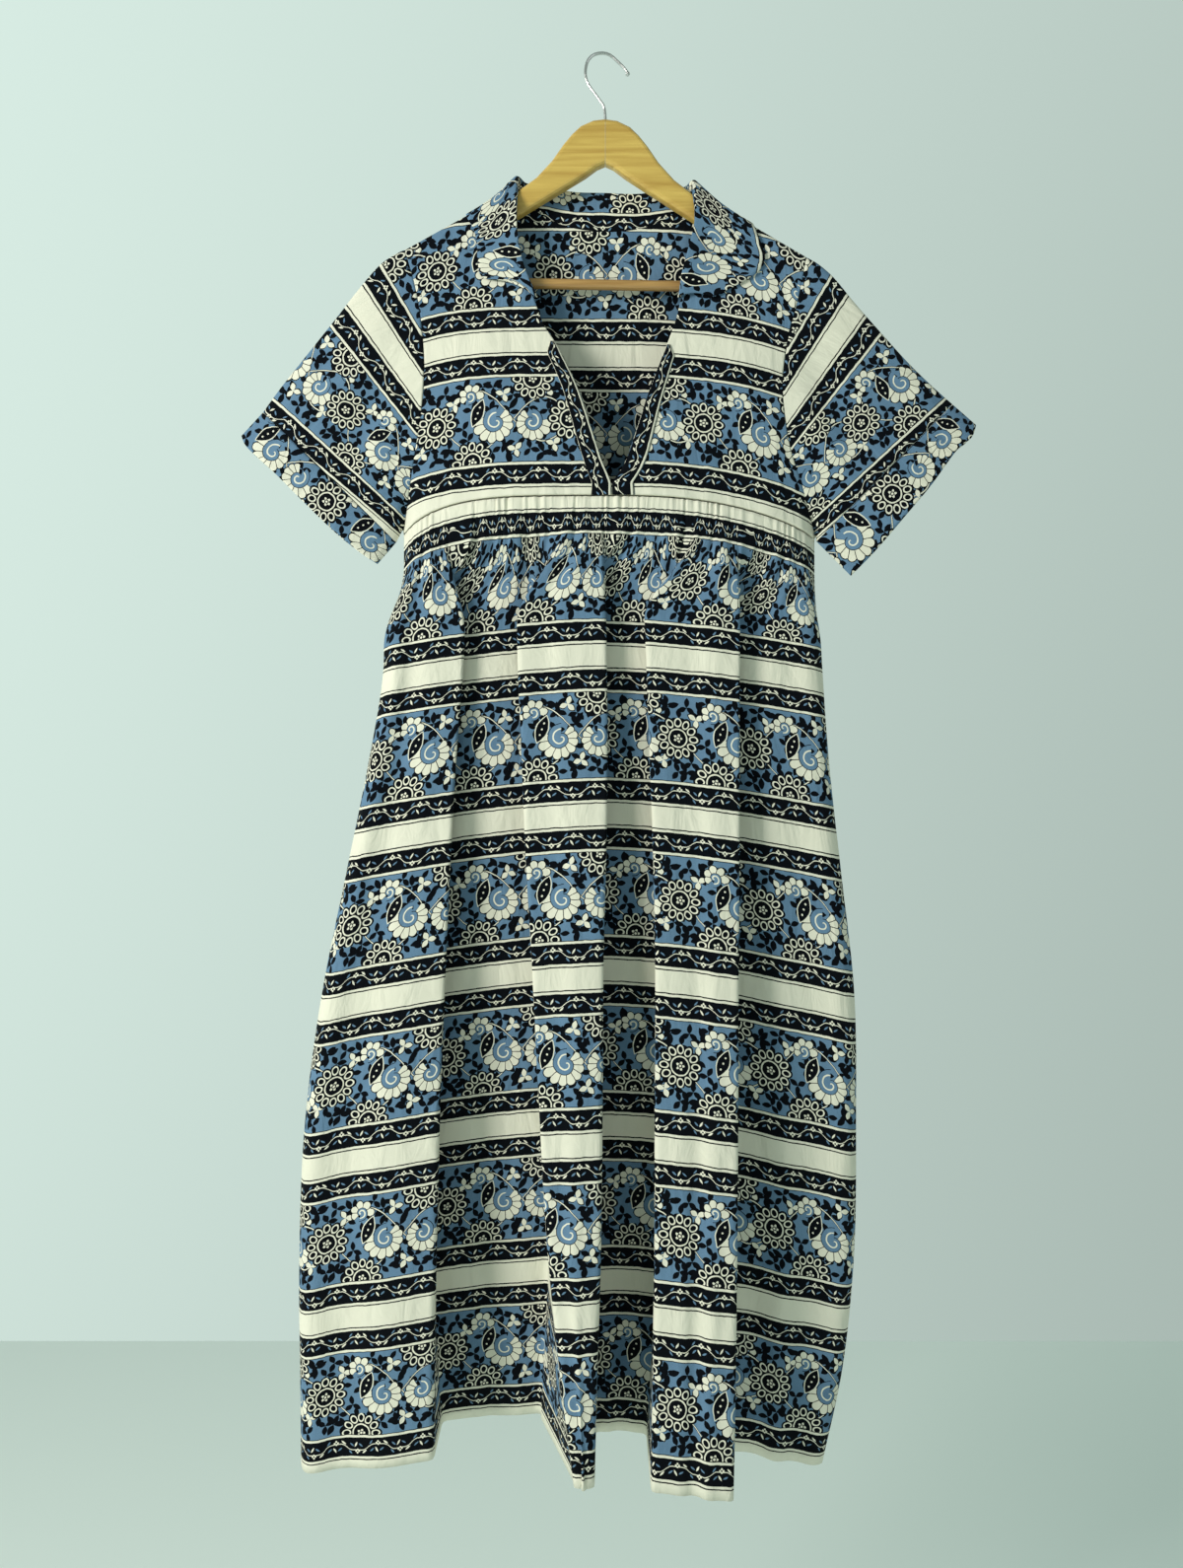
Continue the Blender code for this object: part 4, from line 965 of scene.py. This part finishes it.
def bodice_front_cloth():
    """Both halves of the front, joined below the slit."""
    rows = [*TOP_ROWS, *np.linspace(0.06, SLIT_END, 92), 0.97, 0.98, 0.99, 0.996, 1]
    share = np.linspace(0, 1, 84)
    points, places = [], []
    faces = []
    index_of = {}
    for side in (-1, 1):
        surface = front_half(side)
        columns = share if side < 0 else share[::-1]
        numbers = []
        for v in rows:
            for u in columns:
                x, z = surface(u, v)
                key = (round(x, 3), round(z, 3))
                if key not in index_of:
                    index_of[key] = len(points)
                    tuck = SEAM_TUCK if v == 1 else 0
                    points.append((x, panel_depth(FRONT, x, z) - bust_folds(x, z, FRONT) + tuck, z))
                    places.append(bodice_place(x, z))
                numbers.append(index_of[key])
        faces += [tuple(numbers[k] for k in face) for face in grid_faces(len(rows), len(columns))]
    return cloth_piece("bodice_front", points, places, faces)


def bodice_back_cloth():
    """The back, from the shoulder seams and the neck to the waist seam."""
    left = body_edge(-1)
    right = body_edge(1)
    share = SHOULDER_SHARE
    shoulder = [u * share for u in np.linspace(0, 1, 34)]
    neck = [share + (1 - 2 * share) * (1 - cos(pi * u)) / 2
            for u in np.linspace(0, 1, 62)[1:-1]]
    columns = shoulder + neck + [1 - u for u in reversed(shoulder)]
    rows = [*TOP_ROWS, *np.linspace(0.06, 0.985, 84), 0.993, 1]

    def top(u):
        if u < share:
            x = left(0)[0] + (-NECK_X - left(0)[0]) * u / share
        elif u > 1 - share:
            x = right(0)[0] + (NECK_X - right(0)[0]) * (1 - u) / share
        else:
            x = -NECK_X + 2 * NECK_X * (u - share) / (1 - 2 * share)
        return np.array([x, back_neck_height(x) if abs(x) < NECK_X else shoulder_height(x)])

    surface = patch(top, waist_edge(left(1)[0], right(1)[0]), left, right)
    points, places = [], []
    for v in rows:
        for u in reversed(columns):
            x, z = surface(u, v)
            tuck = SEAM_TUCK if v == 1 else 0
            points.append((x, panel_depth(BACK, x, z) - bust_folds(x, z, BACK) - tuck, z))
            places.append((BACK_FLOWER - x, bodice_place(x, z)[1]))
    faces = grid_faces(len(rows), len(columns))
    return cloth_piece("bodice_back", points, places, faces)


def facing_cloth(side):
    """The strip of vine print along one side of the slit."""
    slit = slit_edge(side)
    width = FACING_WIDTH[side]
    points, places = [], []
    rows = np.linspace(FACING_START, 1, 70)
    across = np.linspace(1, 0, FACING_COLUMNS)[::-side]
    low, high = FACING_PLACE[side]
    run = 0
    before = slit(FACING_START)
    for v in rows:
        x, z = slit(v)
        run += hypot(x - before[0], z - before[1])
        before = (x, z)
        share = (v - FACING_START) / (1 - FACING_START)
        reach = (width.top + (width.bottom - width.top) * share) * min(1, 0.3 + share * 9)
        for part in across:
            place = x + side * (reach * part + HALF_GAP * 2)
            lift = FACING_LIFT - FACING_EDGE_FALL * abs(2 * part - 1) ** 3
            point = on_panel(place, z - shoulder_height(place), lift)
            point[1] -= bust_folds(place, z, FRONT)
            points.append(point)
            places.append((run + FACING_FIRST_PLACE, high + (low - high) * part))
    name = SIDE_NAMES[side]
    return cloth_piece(f"neck_facing_{name}", points, places,
                       grid_faces(len(rows), FACING_COLUMNS))


def tube_cloth(side, kind, surface, steps, place, tuck=0.0):
    """A sleeve or cuff on a tube's surface, with its first ring moved towards the body by tuck."""
    points, places = [], []
    for share in steps:
        for k in range(TUBE_RING):
            turn = 2 * pi * (k + 0.0001) / TUBE_RING
            point = surface(share, turn)
            places.append(place(point, share, turn))
            if share == 0:
                point[0] -= side * tuck
            points.append(point)
    faces = grid_faces(len(steps), TUBE_RING, closed=True)
    if side > 0:
        faces = [tuple(reversed(face)) for face in faces]
    node = f"{kind}_{SIDE_NAMES[side]}"
    return cloth_piece(node, points, places, faces)


def sleeve_cloth(side):
    """A short sleeve, pressed flat, from its armhole to the cuff."""
    hole = armhole(side)
    top = path_through(SLEEVE_TOP[side])
    under = path_through(UNDERARM[side])
    out = np.array([side * ARMHOLE_GAP * 0.4, 0])
    fan = FAN[side]

    def start(down):
        ends = (top(0) - hole(0)) * (1 - down) + (under(0) - hole(1)) * down
        return hole(down) + ends + out * 4 * down * (1 - down)

    def end(down):
        return top(1) + (under(1) - top(1)) * down

    def start_depths(face, down):
        x, z = hole(down)
        return panel_depth(face, x, z)

    def place(point, share, turn):
        dx = point[0] - fan.x
        dz = point[2] - fan.z
        angle = degrees(atan2(dz, dx))
        v = FIRST_STRIPE + REPEAT * (angle - fan.first) / (fan.last - fan.first)
        u = hypot(dx, dz)
        if turn > pi:
            u = BACK_SLEEVE_PLACE - u
        return (SLEEVE_FLOWER_LEFT - u if side < 0 else u - SLEEVE_FLOWER_RIGHT), v

    flat = sleeve_surface(start, end, start_depths, flat_depth, top, under)

    def surface(share, turn):
        point = flat(share, turn)
        down, face = half_turn(turn)
        fade = sin(pi * down) * sin(pi * min(share * 1.1, 1))
        wave = 2.6 * sin(down * 9.5 + share * 3 + side) + 1.6 * sin(down * 17 - share * 5)
        point[1] += face * wave * fade
        return point

    steps = np.concatenate([[0, 0.006, 0.015], np.linspace(0.03, 1, 46)])
    return tube_cloth(side, "sleeve", surface, steps, place, tuck=SLEEVE_TUCK)


def cuff_cloth(side):
    """The strip at a sleeve's end."""
    top_curve = path_through(SLEEVE_TOP[side])
    under_curve = path_through(UNDERARM[side])
    edge = path_through(CUFF_EDGE[side])
    seam = under_curve(1) - top_curve(1)
    across = np.array([-seam[1], seam[0]]) / np.linalg.norm(seam)
    across *= copysign(CUFF_GAP * 0.4, np.dot(across, edge(0.5) - top_curve(1)))
    first = top_curve(1) + across
    last = under_curve(1) + across
    width = np.linalg.norm(edge(0.5) - (first + last) / 2)
    length = np.linalg.norm(last - first)

    def start(down):
        return first + (last - first) * down

    def place(point, share, turn):
        down, face = half_turn(turn)
        u = length * (down if face == FRONT else 2 - down)
        return u + CUFF_PLACE[0], CUFF_PLACE[1] + share * width

    flat = sleeve_surface(start, edge, flat_depth, flat_depth,
                          lambda s: first + (edge(0) - first) * s,
                          lambda s: last + (edge(1) - last) * s)

    def surface(share, turn):
        point = flat(share, turn)
        down, face = half_turn(turn)
        point[1] += face * sin(pi * down) * (1.4 * sin(down * 12 + side) * share
                                                       - 1.6 * (1 - share) ** 8)
        return point

    return tube_cloth(side, "cuff", surface, np.linspace(0, 1, 16), place)


def fine_collar_stations():
    """The collar's stations and smooth ones between them, straighter over the shoulders."""
    found = []
    for start, end, s, row in spline(COLLAR, COLLAR_STEPS):
        if 0 in (Station(*start).neck_drop, Station(*end).neck_drop):
            row = row * 0.4 + (start + (end - start) * s) * 0.6
        found.append(Station(*row))
    return found + [COLLAR[-1]]


def collar_cloth():
    """The folded collar, all round the neck and down to the slit."""
    places_across = np.concatenate([np.linspace(0, 1.4, 6), np.linspace(1.5, 2.6, 9),
                                    np.linspace(2.8, 5, 18)])
    stations = fine_collar_stations()
    points, places = [], []
    run = 0
    before = None
    for station in stations:
        row = rounded(collar_section(station), places_across)
        across = lengths_along(row)
        roll = row[ROLL_COLUMN]
        if before is not None:
            run += np.linalg.norm(roll - before)
        before = roll
        points += list(row)
        for s in across:
            beyond = s - across[ROLL_COLUMN]
            beyond *= COLLAR_FALL_SHARE if beyond > 0 else 1
            places.append((COLLAR_FLOWER - run, ROLL_PLACE + beyond))
    return cloth_piece("collar", points, places,
                       grid_faces(len(stations), len(places_across)))


class SkirtCloth:
    """One skirt panel as fine cloth, on the same sections as its solid."""

    ANCHORS = (3.6, 13.5, 23.0, 32.0, 42.0, 53.0)
    HIDDEN = (7.5, 17.5, 26.5, 35.5, 46.5)

    def __init__(self, face, edges, depths, laps, gathers, seed, threads=None):
        self.face = face
        self.tables = (edges, depths, laps)
        self.gathers = gathers
        self.flip = 1 if face == FRONT else -1
        self.random = np.random.default_rng(seed)
        self.last = len(skirt_controls(FULL_FOLD_LEVEL, *self.tables)) - 1
        self.dense = np.linspace(0, self.last, self.last * 12 + 1)
        lengths = self.lengths(FULL_FOLD_LEVEL)
        self.shares = lengths / lengths[-1]
        middle = self.lengths(0.5)
        self.anchors = [float(np.interp(place, self.dense, middle)) for place in self.ANCHORS]
        if threads:
            found = rounded(skirt_controls(THREAD_LEVEL, *self.tables), self.ANCHORS)
            self.anchors = [thread.place + spot[0] - thread.x
                            for thread, spot in zip(threads, found)]
        self.phases = self.random.uniform(0, 2 * pi, 12)

    def lengths(self, level):
        """Lengths along the section at the dense places."""
        return lengths_along(rounded(skirt_controls(level, *self.tables), self.dense))

    def print_place(self, place, lengths):
        """Print coordinate across: true to length on each panel, taken up inside the folds."""
        along = float(np.interp(place, self.dense, lengths))
        at = [float(np.interp(anchor, self.dense, lengths)) for anchor in self.ANCHORS]
        index = int(np.clip(np.searchsorted(self.ANCHORS, place) - 1, 0, len(self.HIDDEN) - 1))
        share = min(max((place - self.HIDDEN[index]) / 2, 0), 1)
        first = self.anchors[index] + along - at[index]
        second = self.anchors[index + 1] + along - at[index + 1]
        return first * (1 - share) + second * share

    def ripple(self, share, level):
        """Uneven gathers under the seam that run out into long soft folds."""
        p = self.phases
        turn = 2 * pi * self.gathers * share
        turn += 2.4 * sin(turn * 0.11 + p[2]) + 1.3 * sin(turn * 0.31 + p[9])
        uneven = 0.75 + 0.45 * sin(turn * 0.083 + p[0]) + 0.30 * sin(turn * 0.23 + p[1])
        tight = (0.62 * cos(turn) + 0.42 * cos(turn * 1.62 + p[10])) * uneven
        close = exp(-level / 0.04) * GATHER_DEPTH * 0.8
        mid = (cos(turn * 0.47 + p[3]) * exp(-level / 0.11) * 1.5
               + cos(turn * 0.31 + p[4] + 0.8 * sin(level * 6)) * exp(-level / 0.3) * 1.1)
        soft = (cos(turn * 0.17 + p[5] + 0.7 * sin(level * 5 + p[6]))
                + 0.7 * cos(turn * 0.26 + p[7] + 0.9 * sin(level * 4 + p[8]))) * 0.9
        start = ramp(level / 0.04)
        return tight * close + (mid + soft * ramp(level / 0.25)) * start

    def row(self, level, shares):
        section_level = max(level, 0)
        controls = skirt_controls(section_level, *self.tables)
        spots_at = np.interp(shares, self.shares, self.dense)
        spots = rounded(controls, spots_at)
        lengths = self.lengths(max(section_level, FULL_FOLD_LEVEL))
        across = ramp((level - 0.03) / 0.10)
        into = ramp(level / 0.08)
        edge = at_level(self.tables[0], section_level)
        fade = ramp(level / 0.15)
        sides = at_level(SKIRT_DROOP, section_level).sides
        points, places = [], []
        for share, place, (x, y) in zip(shares, spots_at, spots):
            seam_x = SIDE_LEFT + (SIDE_RIGHT - SIDE_LEFT) * share
            seam_z = waist_height(seam_x)
            seam_y = panel_depth(self.face, seam_x, seam_z)
            taper = ramp(min(share, 1 - share) * 22)
            x = seam_x + (x - seam_x) * across
            y = seam_y + (y * self.flip - seam_y) * into + self.ripple(share, level) * taper
            limit = edge.right if x > 0 else -edge.left
            droop = sides * min(abs(x) / limit, 1) ** 1.6
            z = WAIST - SKIRT_DROP * level - fade * droop - (1 - fade) * (WAIST - seam_z)
            points.append((x, y, z))
            places.append((self.print_place(place, lengths), SEAM_PHASE + SKIRT_DROP * level))
        return points, places

    def build(self, node):
        levels = list(np.linspace(0, 0.05, 12)) + list(np.linspace(0.058, 0.2, 24))
        levels += list(np.linspace(0.21, 1, SKIRT_ROWS - 36))
        shares = np.linspace(0, 1, SKIRT_COLUMNS)
        points, places = self.row(0, shares)
        points = [(x, y - self.face * SEAM_TUCK, z - 0.1) for x, y, z in points]
        for level in levels:
            row_points, row_places = self.row(level, shares)
            if level == 0:
                row_points = [(x, y, z - 0.9) for x, y, z in row_points]
            points += row_points
            places += row_places
        faces = grid_faces(len(levels) + 1, len(shares))
        if self.face == BACK:
            faces = [tuple(reversed(face)) for face in faces]
        return cloth_piece(node, points, places, faces)


def wood(kind):
    """Lacquered wood with long grain."""
    made, tree, shader = new_material(kind.name)
    coords = add_node(tree, "TexCoord")
    grain = stretched_noise(tree, coords.outputs["Object"], GRAIN_STRETCH, 6, 0.5)
    tones = add_node(tree, "ValToRGB", {"Fac": grain})
    for k, (place, colour) in enumerate(((0.3, kind.dark), (0.72, kind.light))):
        tones.color_ramp.elements[k].position = place
        tones.color_ramp.elements[k].color = (*colour, 1)
    bump = add_node(tree, "Bump", {"Strength": 0.15, "Distance": 0.0005, "Height": grain})
    fill(shader, {"Base Color": tones.outputs["Color"], "Roughness": kind.roughness,
                  "Coat Weight": 0.25, "Coat Roughness": 0.2, "Normal": bump.outputs["Normal"]})
    return made


def chrome():
    """Bright wire with faint drawing marks."""
    made, tree, shader = new_material("hook_wire")
    coords = add_node(tree, "TexCoord")
    marks = add_node(tree, "TexNoise", {"Vector": coords.outputs["Object"], "Scale": 400})
    spread = add_node(tree, "MapRange", {"Value": marks.outputs["Fac"], "To Min": 0.16,
                                         "To Max": 0.30})
    fill(shader, {"Metallic": 1, "Base Color": CHROME, "Roughness": spread.outputs["Result"]})
    return made


def repaint(node, look):
    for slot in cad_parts[node].material_slots:
        slot.material = look


def area_light(light):
    data = bpy.data.lights.new(light.name, "AREA")
    data.shape = "SQUARE"
    data.size = light.size
    data.energy = light.power
    data.color = light.colour
    made = add_object(light.name, data)
    made.location = light.place
    aim = Vector(light.target) - Vector(light.place)
    made.rotation_mode = "QUATERNION"
    made.rotation_quaternion = aim.to_track_quat("-Z", "Y")


def surroundings():
    """Pale aqua all round, brighter behind the dress and to its left."""
    world = bpy.data.worlds.new("surroundings")
    world.use_nodes = True
    tree = world.node_tree
    coords = add_node(tree, "TexCoord")
    split = add_node(tree, "SeparateXYZ", {0: coords.outputs["Generated"]})
    x, y, z = (Num(tree, split.outputs[axis]) for axis in "XYZ")
    behind = add_node(tree, "MapRange", {"Value": y, "From Max": 0.4})
    behind = Num(tree, behind.outputs["Result"])
    strength = behind * (SKY_BEHIND - x * SKY_LEFT + z * SKY_UP) + SKY_STRENGTH
    fill(tree.nodes["Background"], {"Color": SKY_COLOUR, "Strength": strength})
    return world


def studio():
    """Camera, soft light and a pale floor under the hem."""
    data = bpy.data.cameras.new("camera")
    data.lens = CAMERA_LENS
    data.sensor_width = 36
    data.sensor_fit = "AUTO"
    data.clip_start = 0.01
    camera = add_object("camera", data)
    camera.location = CAMERA_AT
    camera.rotation_euler = (radians(90), 0, 0)
    scene = bpy.context.scene
    scene.camera = camera
    scene.world = surroundings()
    scene.view_settings.view_transform = "Standard"
    for light in LIGHTS:
        area_light(light)

    mesh = bpy.data.meshes.new("floor")
    z = CAD_BOX[0][2] - FLOOR_DROP
    w = FLOOR_HALF_WIDTH
    mesh.from_pydata([(-w, -w, z), (w, -w, z), (w, FLOOR_BACK, z), (-w, FLOOR_BACK, z)], [],
                     [(0, 1, 2, 3)])
    look, _, shader = new_material("floor_paint")
    fill(shader, {"Base Color": FLOOR_COLOUR, "Roughness": 0.8})
    mesh.materials.append(look)
    add_object("floor", mesh)


def dress():
    front = bodice_front_cloth()
    back = bodice_back_cloth()
    facings = [facing_cloth(side) for side in (-1, 1)]
    sleeves = [sleeve_cloth(side) for side in (-1, 1)]
    cuffs = [cuff_cloth(side) for side in (-1, 1)]
    collar = collar_cloth()
    skirt_front = SkirtCloth(FRONT, FRONT_EDGES, FRONT_DEPTHS, FRONT_LAPS, FRONT_GATHERS, 3,
                             FRONT_THREADS).build("skirt_front")
    skirt_back = SkirtCloth(BACK, BACK_EDGES, BACK_DEPTHS, BACK_LAPS, BACK_GATHERS,
                            8).build("skirt_back")


def main():
    arm_wood = wood(ARM_WOOD)
    repaint("hanger_arm_left", arm_wood)
    repaint("hanger_arm_right", arm_wood)
    repaint("hanger_bar", wood(BAR_WOOD))
    repaint("hanger_hook", chrome())
    dress()
    studio()


main()
